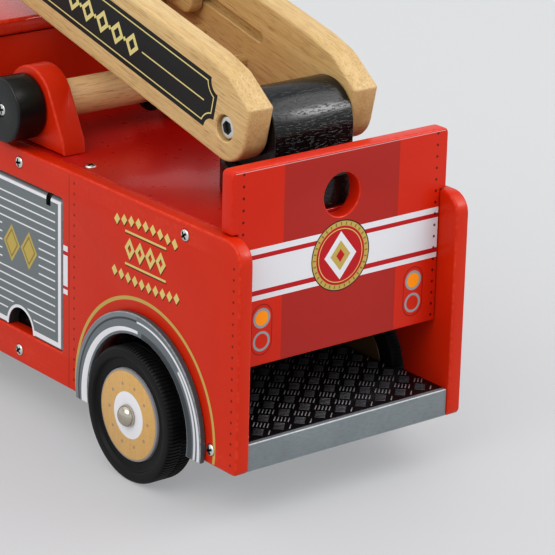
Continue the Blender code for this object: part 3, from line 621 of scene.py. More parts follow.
def side_ornament(x, z):
    """The gold decoration over the rear wheel: two rules between rows of lozenges."""
    middle = 63.0
    bow = (x - middle) * (x - middle) * 0.0047
    top_row = lozenge_row(x, z + bow, 43.0, 5.0, 9, 89.0, 2.1, 2.5)
    rule = x.within(48.8, 77.2) * z.within(83.0, 84.0)
    big = lozenge_row(x, z, 52.4, 7.2, 4, 76.3, 3.5, 4.9)
    hollow = lozenge_row(x, z, 52.4, 7.2, 4, 76.3, 1.3, 1.9)
    low_rule = x.within(48.8, 77.2) * z.within(68.9, 69.9)
    low_row = lozenge_row(x, z - bow * 0.5, 41.4, 4.8, 10, 63.2, 2.0, 2.5)
    return top_row.most(rule).most(big - hollow).most(low_rule).most(low_row)


def paint_grain(shade, direction=(0.12, 1.0, 1.0)):
    """Surface of brushed-and-sprayed paint over a board: fine grain and faint orange peel."""
    grain = shade.noise(1.6, direction, 3.0, 0.6)
    peel = shade.noise(0.55, (1.0, 1.0, 1.0), 2.0)
    return grain * 0.35 + peel * 0.65


def red_paint(name, print_on=None, base=RED, shade_colour=RED_SHADE, roughness=0.36, coat=0.06, lift=0.035):
    """Sprayed red paint with worn edges; print_on lays the printed decoration over it."""
    shade = Shade(name)
    x, y, z = shade.stations()
    cloud = shade.noise(0.035, (1.0, 1.0, 1.0), 3.0)
    colour = shade.mix((cloud - 0.35).clamped() * 0.5, base, shade_colour)
    fine = shade.noise(2.2, (0.1, 1.0, 1.0), 3.0, 0.7, (40.0, 0.0, 0.0))
    colour = shade.mix(fine.above(0.62, 0.10) * 0.12, colour, shade_colour)
    wear = shade.attribute("edge") * shade.noise(0.5, detail=4.0, offset=(9.0, 3.0, 5.0)).above(0.52, 0.10)
    colour = shade.mix(wear * 0.35, colour, rgb(226, 84, 58))
    printed = 0.0
    if print_on:
        colour, printed = print_on(shade, x, y, z, colour)
    mottled = shade.noise(0.25, detail=4.0, offset=(0.0, 30.0, 0.0)) * 0.16 + (roughness - 0.08)
    if print_on:
        mottled = mottled + printed * 0.06
    shade.bump(paint_grain(shade), lift)
    return shade.finish(colour, mottled, coat=coat, coat_roughness=0.12, specular=0.22)


ARCH_LINE_HEIGHT = 7.3


def print_side(shade, x, y, z, colour):
    """Seams, rivets, stripes, gold lines and ornament on the outer face of a side panel, and painted shade round the
    edges of its wheel arches.
    """
    face = abs(y).above(HALF_WIDTH - 0.06, 0.03)
    marks = []
    seam = abs(x - 117.8).below(0.16) * z.within(1.2, 96.6)
    cab_seam = (abs(x - CAB_SIDE_X).below(0.16) * z.within(1.2, 97.0)).most(
        abs(z - DECK_HEIGHT).below(0.14) * x.within(CAB_SIDE_X, 285.0)
    )
    studs = rivets(x, z, 114.06, 93.9, 2.0, 4.65).most(rivets(x, z, 3.9, 88.0, 2.0, 4.65))
    studs = studs.most(rivets(x, z, 198.2, 93.9, 2.0, 4.65))
    marks.append((seam.most(cab_seam), DARK_LINE, 0.85))
    marks.append((studs, DARK_LINE, 0.75))
    span = x.within(118.9, 123.2).most(x.within(188.9, 193.6)).most(x.within(194.5, 287.0))
    marks.append((span * z.within(42.6, 64.5), CRIMSON, 1.0))
    white = z.within(62.0, 64.5).most(z.within(46.3, 60.25)).most(z.within(42.6, 44.9))
    marks.append((span * white, WHITE, 1.0))
    rise = z - ARCH_LINE_HEIGHT
    for _, centre in AXLES:
        across = x - centre + 0.8
        radius = (rise * rise + across * across) ** 0.5
        marks.append((radius.within(44.0, 48.1, 0.1) * span * z.above(42.6) * x.above(200.0), RED, 1.0))
        marks.append((radius.within(48.1, 49.7) * z.above(0.0), GOLD, 1.0))
    marks.append((side_ornament(x + 0.35, z + 0.55), SHADOW_INK, 0.9))
    marks.append((side_ornament(x, z), GOLD_LIGHT, 1.0))
    printed = seam * 0.0
    for mask, paint, strength in marks:
        mask = mask * face
        colour = shade.mix(mask * strength, colour, paint)
        printed = printed.most(mask)
    # Painted shade: the cut edges of the wheel arches, and a thin band of face round them, are painted nearly black.
    rise = z - ARCH_HEIGHT
    for _, centre in AXLES:
        across = x - centre
        under = ((rise * rise + across * across) ** 0.5).below(ARCH_RADIUS + 0.4, 0.2)
        colour = shade.mix(under * 0.85, colour, ARCH_PAINTED_SHADE)
    return colour, printed


def print_rear(shade, x, y, z, colour):
    """Bands, stripes, roundel, lamps and rivets on the rear face of the tailboard, and a painted highlight line along
    its top edge.
    """
    face = x.below(REAR_PANEL_X + 0.06, 0.03)
    marks = [(abs(y).below(30.0), BAND_RED, 1.0)]
    marks.append((z.within(69.2, 91.3), CRIMSON, 1.0))
    white = z.within(88.7, 91.3).most(z.within(73.5, 86.8)).most(z.within(69.2, 71.4))
    marks.append((white, WHITE, 1.0))
    marks.append((rivets(abs(y), z, 50.5, 123.3, 42.0, 4.97), DARK_LINE, 0.9))
    # Painted highlight: a pale line along the top edge of the rear face.
    top_edge_painted_highlight = z.within(REAR_PANEL_TOP - 1.15, REAR_PANEL_TOP - 0.85) * abs(y).below(REAR_PANEL_HALF - 1.6)
    marks.append((top_edge_painted_highlight, WHITE, 0.5))
    rise = z - 80.0
    radius = (y * y + rise * rise) ** 0.5
    angle = y._math("ARCTAN2", rise)
    marks.append((radius.below(15.2), SHADOW_INK, 1.0))
    marks.append((radius.below(14.7), GOLD, 1.0))
    marks.append((abs((angle * 16.0).sine()).below(0.35, 0.1) * radius.within(12.9, 14.3), SHADOW_INK, 0.6))
    marks.append((radius.below(12.6), CRIMSON, 1.0))
    marks.append((radius.within(11.2, 11.6), GOLD_LIGHT, 0.9))
    marks.append((lozenge(y, z, 0.0, 80.0, 8.4, 10.4), WHITE, 1.0))
    marks.append((lozenge(y, z, 0.0, 80.0, 5.2, 6.5), GOLD, 1.0))
    marks.append((lozenge(y, z, 0.0, 80.0, 2.2, 2.8), CRIMSON, 1.0))
    for middle, lens in ((61.2, AMBER), (51.3, REAR_RED)):
        marks.append((ring(abs(y), z, 40.0, middle, -1.0, 4.3), GREY_LIGHT, 1.0))
        marks.append((ring(abs(y), z, 40.0, middle, -1.0, 3.2), lens, 1.0))
    bend = (abs(z - 56.25) - 5.6).most(0.0)
    side = abs(abs(y) - 40.0)
    capsule = (bend * bend + side * side) ** 0.5
    marks.append((capsule.within(5.0, 5.3, 0.1), DARK_LINE, 0.85))
    printed = white * 0.0
    for mask, paint, strength in marks:
        mask = mask * face
        colour = shade.mix(mask * strength, colour, paint)
        printed = printed.most(mask)
    return colour, printed


def print_front(shade, x, y, z, colour):
    """A plain radiator grille and two white lines on the outer face of the cab front."""
    face = x.above(CAB_FRONT_X + BOARD - 0.06, 0.03)
    grille = abs(y).below(22.0) * z.within(26.0, 60.0)
    frame_line = grille - abs(y).below(20.4) * z.within(27.6, 58.4)
    slats = abs(z.repeated(30.5, 3.8)).below(0.55) * abs(y).below(18.6) * z.within(29.0, 57.4)
    marks = [
        (z.within(66.0, 84.0), CRIMSON, 1.0),
        (z.within(66.0, 68.2).most(z.within(81.8, 84.0)).most(z.within(69.8, 80.2)), WHITE, 1.0),
        (grille, GREY, 1.0),
        (slats.most(frame_line), WHITE, 1.0),
        (rivets(abs(y), z, 50.5, 93.9, 18.0, 4.65), DARK_LINE, 0.8),
    ]
    printed = grille * 0.0
    for mask, paint, strength in marks:
        mask = mask * face
        colour = shade.mix(mask * strength, colour, paint)
        printed = printed.most(mask)
    return colour, printed


def shutter_paint():
    """Grey roller shutter with a white frame, white slat lines and a gold ornament; the walls of its notch and slots
    are painted dark as shade.
    """
    shade = Shade("locker_shutter")
    x, y, z = shade.stations()
    face = abs(y).above(DOOR_OUTER_Y - 0.3, 0.15)
    speckle = shade.noise(1.9, detail=4.0)
    colour = shade.mix(speckle, rgb(96, 103, 105), rgb(120, 127, 129))
    across = abs(x - DOOR_MIDDLE_X)
    inner = across.below(29.0) * z.within(18.3, 81.0)
    frame_line = across.below(31.2) * z.within(16.1, 83.1) - inner
    slats = abs(z.repeated(76.2, 3.81)).below(0.34) * across.below(26.8) * z.within(21.0, 78.0)
    ornament_gap = across.below(14.2) * z.within(44.6, 63.0)
    rise = z - DOOR_BOTTOM
    offset = x - DOOR_MIDDLE_X
    radius = (rise * rise + offset * offset) ** 0.5
    slats = slats * (1.0 - ornament_gap) * radius.above(NOTCH_RADIUS + 2.6)
    frame_line = frame_line.most(radius.below(NOTCH_RADIUS + 1.3))
    white = slats.most(frame_line)
    pair = abs(offset)
    outline = lozenge(pair, z, 6.7, 53.8, 6.3, 8.6)
    groove = lozenge(pair, z, 6.7, 53.8, 4.9, 6.7)
    centre = lozenge(pair, z, 6.7, 53.8, 4.0, 5.5)
    colour = shade.mix(white * face, colour, WHITE)
    gold = shade.mix(speckle, rgb(168, 146, 72), rgb(192, 170, 92))
    colour = shade.mix(outline * face, colour, gold)
    colour = shade.mix(groove * face, colour, rgb(132, 118, 62))
    colour = shade.mix(centre * face, colour, gold)
    wear = shade.attribute("edge") * shade.noise(0.6, detail=3.0).above(0.5, 0.1)
    colour = shade.mix(wear * 0.3, colour, rgb(170, 174, 174))
    # Painted shade: the wall of the finger notch is painted near black.
    notch_wall_painted_shade = radius.below(NOTCH_RADIUS + 0.3) * (1.0 - face)
    colour = shade.mix(notch_wall_painted_shade * 0.8, colour, INK)
    # Painted shade: the walls and floor inside the two slots are painted black.
    slots = abs(across - (DOOR_MIDDLE_X - SLOT_X)).below(SLOT_HALF + 0.05) * z.above(SLOT_BOTTOM - 0.05)
    colour = shade.mix(slots * abs(y).below(DOOR_OUTER_Y - 0.15), colour, INK)
    shade.bump(white * 0.4 + speckle * 0.3, 0.05)
    return shade.finish(colour, speckle * 0.15 + 0.36, coat=0.08, coat_roughness=0.2, specular=0.3)


def mudguard_paint():
    """Grey mudguard with printed light and dark bands that follow the arch and widen
    towards its feet; its outer side is painted dark grey as shade."""
    shade = Shade("mudguard_print")
    x, y, z = shade.stations()
    speckle = shade.noise(1.6, detail=4.0)
    face = abs(y).above(MUDGUARD_FACE_Y - 0.12, 0.05)
    near_rear = x.below(150.0, 1.0)
    centre = near_rear * (AXLES[0][1] - AXLES[1][1]) + AXLES[1][1]
    across = x - centre
    rise = z - ARCH_HEIGHT
    radius = (across * across + rise * rise) ** 0.5
    past_top = rise._math("ARCTAN2", across) * (180.0 / math.pi) - 90.0
    past_top = past_top + past_top.below(-200.0, 1.0) * 360.0
    behind = past_top.above(0.0, 0.4)
    down = (abs(past_top) / 98.0).clamped()
    colour = shade.mix(speckle, rgb(92, 98, 102), rgb(112, 119, 123))
    low_edge = 36.3 - down * 0.7
    high_edge = down * 2.3 + 37.6
    front_white = (radius - low_edge).above(0.0) * (radius - high_edge).below(0.0) * past_top.below(1.0, 0.3)
    fine_line = (radius - down * 1.4 - 41.0).above(0.0) * (radius - down * 2.2 - 41.8).below(0.0)
    low_line = radius.within(39.9, 41.2) * past_top.above(45.0, 0.5)
    dark_low = down * 0.8 + 35.2
    dark_high = down * 1.6 + 37.5
    dark_band = (radius - dark_low).above(0.0) * (radius - dark_high).below(0.0) * past_top.above(5.0, 0.3)
    marks = (
        (radius.within(41.2, 42.1) * (1.0 - behind), GREY_DARK, 1.0),
        (radius.above(42.2) * (1.0 - behind), GREY_LIGHT, 0.25),
        (front_white, WHITE, 1.0),
        (dark_band, GREY_DARK, 0.85),
        (fine_line * behind, WHITE, 0.95),
        (low_line, WHITE, 0.9),
    )
    for mask, paint, strength in marks:
        colour = shade.mix(mask * face * strength, colour, paint)
    # Painted shade: the outer side of the mudguard, round its curve, is painted dark grey.
    rim = radius.above(MUDGUARD_RADIUS - 0.1, 0.05) * abs(y).below(MUDGUARD_FACE_Y - 0.4, 0.2)
    colour = shade.mix(rim * 0.7, colour, GREY_DARK)
    wear = shade.attribute("edge") * shade.noise(0.5, detail=3.0).above(0.42, 0.12)
    colour = shade.mix(wear * 0.5, colour, rgb(176, 182, 184))
    shade.bump(speckle, 0.04)
    return shade.finish(colour, speckle * 0.18 + 0.34, coat=0.12, coat_roughness=0.2, specular=0.35)


def grey_paint():
    """Satin grey paint on board, its rounded edges painted lighter as a highlight."""
    shade = Shade("grey_painted_board")
    shade.stations()
    cloud = shade.noise(0.06, detail=3.0)
    speckle = shade.noise(1.4, (1.0, 0.25, 1.0), 4.0)
    colour = shade.mix(cloud, rgb(104, 111, 114), rgb(128, 136, 140))
    colour = shade.mix(speckle.above(0.58, 0.12) * 0.35, colour, rgb(92, 98, 101))
    # Painted highlight: the rounded edges are painted near white, more strongly in some places than in others.
    wear = shade.attribute("edge") * (shade.noise(0.7, detail=3.0) + 0.35).clamped()
    colour = shade.mix(wear * 0.75, colour, rgb(206, 212, 214))
    shade.bump(speckle * 0.6 + cloud * 0.4, 0.06)
    return shade.finish(colour, speckle * 0.2 + 0.32, coat=0.15, coat_roughness=0.25)


def wood(name, light, dark, pore, along, ladder=False, coat=0.12, print_on=None):
    """Bare lacquered hardwood: long figure, fine fibres and short dark pores along the grain."""
    shade = Shade(name)
    x, y, z = shade.stations(ladder)
    def run(factor):
        return tuple(factor if axis == along else 1.0 for axis in "XYZ")

    warp = shade.noise(0.02, detail=2.0)
    figure = shade.noise(0.16, run(0.05), 4.0, 0.6, (0.0, 5.0, 2.0))
    bands = ((figure * 16.0 + warp * 6.0).sine() * 0.5 + 0.5)
    fibres = shade.noise(1.3, run(0.02), 4.0, 0.7)
    pores = shade.noise(2.2, run(0.05), 2.0, 0.5, (3.0, 7.0, 1.0)).above(0.60, 0.06)
    dashes = shade.noise(1.1, run(0.09), 2.0, 0.5, (13.0, 2.0, 8.0)).above(0.69, 0.03)
    streaks = shade.noise(0.75, run(0.012), 3.0, 0.6, (21.0, 4.0, 9.0)).above(0.54, 0.10)
    lines = shade.noise(3.0, run(0.02), 2.0, 0.5, (5.0, 15.0, 6.0)).above(0.57, 0.08)
    colour = shade.mix(bands * 0.35 + fibres * 0.45, light, dark)
    colour = shade.mix(streaks * 0.45, colour, dark)
    colour = shade.mix(pores * 0.36 + lines * 0.16, colour, pore)
    colour = shade.mix(dashes * 0.45, colour, pore)
    tone = shade.noise(0.012, detail=2.0, offset=(1.0, 1.0, 4.0))
    colour = shade.mix((tone - 0.4).clamped() * 0.8, colour, dark)
    wear = shade.attribute("edge")
    colour = shade.mix(wear * 0.18, colour, light)
    rough = fibres * 0.16 + 0.36
    height = fibres * 0.4 - pores * 0.3 - dashes * 0.6
    if print_on:
        colour, printed = print_on(shade, x, y, z, colour)
        rough = rough + printed * 0.12
        height = height * (1.0 - printed * 0.8)
    shade.bump(height, 0.09)
    return shade.finish(colour, rough, coat=coat, coat_roughness=0.22, specular=0.32)


def print_plaque(shade, x, y, z, colour):
    """The long dark plaque with pale rules on the outer face of a ladder rail."""
    face = abs(y).above(RAIL_OUTER_Y - 0.06, 0.03)
    middle = 5.6
    half = 11.2
    end = 7.4
    far_end = 184.0
    scoop = 5.6
    from_end = (x - end).least(far_end - x)
    from_side = half - abs(z - middle)
    corner = (from_end.most(0.0) ** 2.0 + from_side.most(0.0) ** 2.0) ** 0.5 - scoop
    depth = from_end.least(from_side).least(corner)
    plaque = depth.above(0.0)
    centre = middle - 0.4
    rule = abs(z - centre).below(0.32) * x.within(15.4, 59.7).most(x.within(142.0, 176.0))
    big = lozenge_row(x, z, 67.0, 11.0, 7, centre, 4.8, 5.4)
    hollow = lozenge_row(x, z, 67.0, 11.0, 7, centre, 2.3, 2.7)
    small = lozenge_row(x, z, 72.5, 11.0, 6, centre, 1.1, 1.2)
    gold = (big - hollow).most(small).most(rule).most(depth.within(2.0, 2.6))
    speckle = shade.noise(1.5, detail=3.0)
    ink = shade.mix(speckle, rgb(12, 12, 12), rgb(24, 24, 22))
    colour = shade.mix(plaque * face, colour, ink)
    colour = shade.mix(gold * face, colour, rgb(206, 192, 128))
    return colour, plaque * face


def black_paint(name, along="Y", pores=0.62, coat=0.12, roughness=0.26, size=0.85, lift=0.10):
    """Black paint on open-grained wood: the pores show as short shiny dashes."""
    shade = Shade(name)
    shade.stations()
    def run(factor):
        return tuple(factor if axis == along else 1.0 for axis in "XYZ")

    grain = shade.noise(size, run(0.22), 3.0, 0.6).above(pores, 0.06)
    fine = shade.noise(2.6, run(0.12), 3.0, 0.6)
    colour = shade.mix(fine, rgb(7, 8, 9), rgb(16, 17, 19))
    wear = shade.attribute("edge") * shade.noise(0.6, detail=3.0).above(0.5, 0.1)
    colour = shade.mix(wear * 0.35, colour, rgb(70, 66, 60))
    shade.bump(fine * 0.25 - grain, lift)
    return shade.finish(colour, fine * 0.12 + roughness, coat=coat, coat_roughness=0.24, specular=0.4)


def rubber():
    """Black rubber with a fine moulded texture and a trace of dust."""
    shade = Shade("tyre_rubber_moulded")
    shade.stations()
    dust = shade.noise(0.10, detail=4.0).above(0.55, 0.15)
    fine = shade.noise(3.0, detail=3.0)
    colour = shade.mix(dust * 0.4, rgb(13, 13, 14), rgb(28, 27, 26))
    shade.bump(fine, 0.05)
    return shade.finish(colour, dust * 0.12 + 0.46, specular=0.25)


def hub_print():
    """Honey-coloured hub disc with a grey rim line, ten grey dots and a white centre; its inner face is painted dark as
    shade.
    """
    shade = Shade("hub_wood_printed")
    x, y, z = shade.stations()
    near_rear = x.below(150.0, 1.0)
    across = x - (near_rear * (AXLES[0][1] - AXLES[1][1]) + AXLES[1][1])
    rise = z - AXLE_HEIGHT
    radius = (across * across + rise * rise) ** 0.5
    angle = rise._math("ARCTAN2", across)
    face = abs(y).above(HUB_FACE_Y - 0.2, 0.05)
    fibres = shade.noise(0.9, (1.0, 1.0, 0.08), 4.0, 0.65)
    figure = shade.noise(0.12, (1.0, 1.0, 0.15), 3.0)
    colour = shade.mix(fibres * 0.6 + figure * 0.3, rgb(214, 174, 108), rgb(184, 140, 78))
    turn = (angle * (10.0 / (2 * math.pi)) + 0.5).fraction() - 0.5
    arc_length = turn * (2 * math.pi / 10.0) * 13.6
    reach = radius - 13.6
    dots = ((arc_length * arc_length + reach * reach) ** 0.5).below(0.75, 0.15)
    colour = shade.mix(dots * face * 0.75, colour, rgb(128, 120, 116))
    flecks = shade.noise(2.4, (1.0, 1.0, 0.5), 2.0).above(0.62, 0.06)
    colour = shade.mix(flecks * 0.35, colour, rgb(150, 104, 44))
    rim = radius.within(19.2, 21.4, 0.1) * abs(y).above(HUB_FACE_Y - 1.4, 0.1)
    colour = shade.mix(rim, colour, rgb(132, 132, 136))
    colour = shade.mix(radius.within(18.9, 19.2, 0.1) * face * 0.5, colour, rgb(150, 116, 70))
    colour = shade.mix(radius.below(10.2, 0.1) * face, colour, rgb(220, 220, 224))
    # Painted shade: the inner face of the hub, towards the body, is painted dark brown.
    colour = shade.mix(abs(y).below(HUB_INNER_Y + 1.0, 0.3) * 0.8, colour, rgb(48, 36, 26))
    shade.bump(fibres, 0.05)
    return shade.finish(colour, fibres * 0.15 + 0.36, coat=0.25, coat_roughness=0.2)


def metal(name, light, dark, roughness, stretch=(1.0, 1.0, 0.1)):
    """Plated metal with fine scratches; hollows marked by darkened() are painted near black as shade."""
    shade = Shade(name)
    shade.stations()
    scratches = shade.noise(3.2, stretch, 4.0, 0.7)
    stain = shade.noise(0.4, detail=3.0)
    colour = shade.mix(stain * 0.6, light, dark)
    # Painted shade: marked hollows, such as cross recesses and hex sockets, are painted near black.
    colour = shade.mix(shade.attribute("edge") * 0.9, colour, rgb(34, 38, 40))
    shade.bump(scratches, 0.02)
    return shade.finish(colour, scratches * 0.14 + (roughness - 0.06), metallic=1.0)


def tread_plastic():
    """Black tread plate: its raised bars are dull grey, and the bars that run in one
    direction of the pattern are painted brighter as a highlight."""
    shade = Shade("tread_plate_black")
    x, y, z = shade.stations()
    fine = shade.noise(2.4, detail=3.0)
    raised = z.above(STEP_TOP + 0.20, 0.05)
    across = (x - TREAD_X) / TREAD_HALF_PITCH_X
    along = (y - TREAD_Y) / TREAD_HALF_PITCH_Y
    first = (across + along) * 0.5 + 0.5
    second = (across - along) * 0.5 + 0.5
    column = first - first.fraction() + second - second.fraction()
    # Painted highlight: the bars of every other column, which run in one direction, are painted brighter.
    highlight_bars = (column * 0.5).fraction().above(0.25, 0.1)
    colour = shade.mix(fine, rgb(7, 7, 9), rgb(16, 16, 19))
    bar_grey_and_highlight = shade.mix(highlight_bars, rgb(84, 84, 90), rgb(150, 150, 156))
    colour = shade.mix(raised * (fine * 0.5 + 0.6), colour, bar_grey_and_highlight)
    shade.bump(fine, 0.04)
    return shade.finish(colour, fine * 0.2 + 0.30, coat=0.1, coat_roughness=0.2, specular=0.35)


def hose_cord():
    """Black braided cord: crossing strands wound round the hose."""
    shade = Shade("braided_hose")
    shade.stations()
    node = shade.node("ShaderNodeUVMap")
    node.uv_map = "sweep"
    parts = shade.node("ShaderNodeSeparateXYZ")
    shade.feed(parts.inputs[0], node.outputs[0])
    along = Value(shade, parts.outputs[0])
    around = Value(shade, parts.outputs[1])
    left = (along * 2.6 + around * 37.7).sine()
    right = (along * 2.6 - around * 37.7).sine()
    weave = left.most(right)
    fluff = shade.noise(4.0, detail=3.0)
    colour = shade.mix(weave * 0.4 + fluff * 0.4, rgb(12, 12, 13), rgb(40, 40, 42))
    shade.bump(weave * 0.8 + fluff * 0.2, 0.22)
    return shade.finish(colour, 0.72, specular=0.3)


def lamp_glass():
    """Pale ribbed headlamp lens."""
    shade = Shade("headlamp_lens")
    x, y, z = shade.stations()
    ribs = (y * 5.2).sine() * 0.5 + 0.5
    haze = shade.noise(0.8, detail=3.0)
    colour = shade.mix(haze, rgb(214, 220, 224), rgb(240, 240, 236))
    shade.bump(ribs, 0.12)
    return shade.finish(colour, haze * 0.1 + 0.10, coat=0.6, coat_roughness=0.05)


LIGHT_WOOD = rgb(212, 184, 134)
MID_WOOD = rgb(184, 148, 94)
PORE = rgb(118, 80, 40)

paints = {
    "side": red_paint("side_panel_print", print_side),
    "rear": red_paint("tailboard_print", print_rear, REAR_RED),
    "front": red_paint("cab_front_print", print_front),
    "red": red_paint("plain_red_paint"),
    "roof": red_paint("roof_red_gloss", None, RED, RED_SHADE, 0.28, 0.5, 0.018),
    "deck": red_paint("deck_red_gloss", None, DECK_RED, rgb(136, 14, 10), 0.30, 0.25, 0.05),
    "shutter": shutter_paint(),
    "mudguard": mudguard_paint(),
    "grey": grey_paint(),
    "rail": wood("ladder_rail_wood", LIGHT_WOOD, MID_WOOD, PORE, "X", True, 0.12, print_plaque),
    "ladder": wood("ladder_wood", LIGHT_WOOD, MID_WOOD, PORE, "X", True),
    "rung": wood("rung_wood", rgb(214, 180, 128), rgb(184, 144, 92), PORE, "Y", True),
    "dowel": wood("dowel_wood", rgb(232, 200, 150), rgb(208, 172, 122), PORE, "Y"),
    "inner_wood": wood("inner_wood", rgb(222, 186, 132), rgb(192, 148, 96), PORE, "X"),
    "black": black_paint("turntable_black", "Y", 0.60, 0.0, 0.15, 1.5, 0.07),
    "knob": black_paint("knob_black", "Y", 0.70),
    "rubber": rubber(),
    "hub": hub_print(),
    "steel": metal("zinc_plated_steel", rgb(226, 228, 224), rgb(196, 198, 194), 0.28),
    "chrome": metal("polished_cap", rgb(196, 190, 176), rgb(164, 156, 142), 0.11),
    "brass": metal("brass_nozzle", rgb(214, 176, 92), rgb(176, 136, 60), 0.24, (1.0, 0.2, 1.0)),
    "tread": tread_plastic(),
    "hose": hose_cord(),
    "lamp": lamp_glass(),
}

# ---- screws ---------------------------------------------------------------------------------

CROSS_HALF_LENGTH = 1.45
CROSS_HALF_WIDTH = 0.42


def screw_head(radius, dome=0.8):
    """A countersunk screw head with a cross recess, facing +Z, its rim at z = 0."""
    profile = [(0.0, -1.6), (radius * 0.45, -1.6), (radius, -0.25), (radius, -0.02)]
    for k in range(1, 6):
        turn = math.radians(90.0 * k / 5)
        profile.append((radius * math.cos(turn), dome * math.sin(turn)))
    profile[-1] = (0.0, dome)
    head = lathe(profile, "Z", steps=40)
    w, l = CROSS_HALF_WIDTH, CROSS_HALF_LENGTH * radius / 2.25
    cross = [(l, -w), (l, w), (w, w), (w, l), (-w, l), (-w, w), (-l, w), (-l, -w), (-w, -w), (-w, -l), (w, -l), (w, -w)]
    head = carved(head, [plate(cross, "Z", dome - 1.4, dome + 1.0, edge=0.12, steps=2)])

    def in_cross(at):
        short, long = sorted((abs(at.x), abs(at.y)))
        return short < w + 0.03 and long < l + 0.03 and at.z > dome - 1.5

    # The cross recess is marked for painted shade.
    return darkened(head, in_cross)


def countersink(radius):
    """The cutter for a screw head facing +Z in a surface at z = 0."""
    return lathe([(0.0, -2.2), (radius * 0.6, -2.2), (radius + 0.12, -0.25), (radius + 0.3, 0.0), (radius + 0.3, 1.0), (0.0, 1.0)], "Z", steps=40)


def facing(direction, at, spin=0.0):
    turn = Vector(direction).to_track_quat("Z", "X").to_matrix().to_4x4()
    return Matrix.Translation(at) @ turn @ Matrix.Rotation(math.radians(spin), 4, "Z")


SIDE_SCREWS = ((155.6, 92.4, 10.0), (36.3, 92.9, 36.0), (17.2, 6.6, 20.0), (156.2, 6.0, 40.0), (272.0, 30.0, 5.0))
SCREW_RADIUS = 2.55


def screws(name, body, places, direction):
    for i, (at, spin) in enumerate(places):
        head = moved(screw_head(SCREW_RADIUS), facing(direction, at, spin))
        piece(f"{name}_{i + 1}", head, body, paints["steel"])


# ---- body boards ----------------------------------------------------------------------------


def wheel_arch(centre):
    foot = math.degrees(math.asin(ARCH_HEIGHT / ARCH_RADIUS))
    return arc(centre, ARCH_HEIGHT, ARCH_RADIUS, 180.0 + foot, -foot, 48)


def side_panels():
    corners = [(0.0, 0.0, 3.0)]
    for _, centre in AXLES:
        corners += [(x, z, 0.0) for x, z in wheel_arch(centre)]
    corners += [
        (SIDE_LENGTH, 0.0, 3.0),
        (SIDE_LENGTH, CAB_HEIGHT, 12.0),
        (CAB_SIDE_X, CAB_HEIGHT, 4.0),
        (CAB_SIDE_X, DECK_HEIGHT, 5.0),
        (0.0, DECK_HEIGHT, 9.0),
    ]
    outline = rounded(corners, 10)
    opening = rectangle(DOOR_REAR_X - 0.5, DOOR_FRONT_X + 0.5, DOOR_BOTTOM - 0.5, DOOR_HINGE_HEIGHT + 3.3, 1.5, 4)
    window = rectangle(214.0, 266.0, 88.0, 124.0, 7.0, 10)
    for name, side in SIDES:
        low, high = sorted((side * INNER_Y, side * HALF_WIDTH))
        board = plate(outline, "Y", low, high, 1.2, (opening, window))
        direction = (0.0, side, 0.0)
        places = [((x, side * HALF_WIDTH, z), spin) for x, z, spin in SIDE_SCREWS]
        cutters = [moved(countersink(SCREW_RADIUS), facing(direction, at)) for at, _ in places]
        board = carved(board, cutters)
        node = "side_panel_" + name
        piece(node + "_board", board, "chassis", paints["side"], (node,))
        screws("side_screw_" + name, "chassis", places, direction)


def tailboard():
    outline = rounded(
        [
            (-BOARD_HALF, REAR_PANEL_BOTTOM, 0.0),
            (BOARD_HALF, REAR_PANEL_BOTTOM, 0.0),
            (BOARD_HALF, DECK_HEIGHT + 0.3, 0.0),
            (REAR_PANEL_HALF, DECK_HEIGHT + 0.3, 1.0),
            (REAR_PANEL_HALF, REAR_PANEL_TOP, 2.4),
            (-REAR_PANEL_HALF, REAR_PANEL_TOP, 2.4),
            (-REAR_PANEL_HALF, DECK_HEIGHT + 0.3, 1.0),
            (-BOARD_HALF, DECK_HEIGHT + 0.3, 0.0),
        ]
    )
    hole = circle(0.0, SIGHT_HOLE_HEIGHT, SIGHT_HOLE_RADIUS, 64)
    front = REAR_PANEL_X + REAR_PANEL_THICKNESS
    board = plate(outline, "X", REAR_PANEL_X, front, 0.8, (hole,))
    piece("tailboard", board, "chassis", paints["rear"], ("rear_panel",))


def stepped_plan(rear, half):
    """Plan of the step board or its tread plate: full width behind the wheels, then waisted."""
    right = [
        (rear, -half),
        (WHEEL_WELL_X, -half),
        (WHEEL_WELL_X, -WHEEL_WELL_HALF),
        (STEP_END_X, -WHEEL_WELL_HALF),
    ]
    return right + [(x, -y) for x, y in reversed(right)]


def tread_bar(length, width, height):
    """One raised bar with a rounded top, lying along x with its foot under the plate."""
    half = length / 2
    side = width / 2
    bm = bmesh.new()
    rows = []
    for share, level in ((1.0, -0.15), (1.0, height * 0.35), (0.80, height * 0.8), (0.45, height)):
        reach = half - (1 - share) * side * 1.4
        spread = side * share
        corners = ((-reach, -spread), (reach, -spread), (reach, spread), (-reach, spread))
        rows.append([bm.verts.new((u, v, level)) for u, v in corners])
    bm.faces.new(rows[0])
    bm.faces.new(rows[-1])
    for lower, upper in zip(rows, rows[1:]):
        for i in range(4):
            bm.faces.new((lower[i], lower[(i + 1) % 4], upper[(i + 1) % 4], upper[i]))
    return bm


BARS_IN_GROUP = 5
BAR_SPACING = 1.47
BAR_LENGTH = 4.4
BAR_WIDTH = 0.58
BAR_HEIGHT = 0.36
BARE_EDGE = 0.4
TREAD_END_X = 68.5


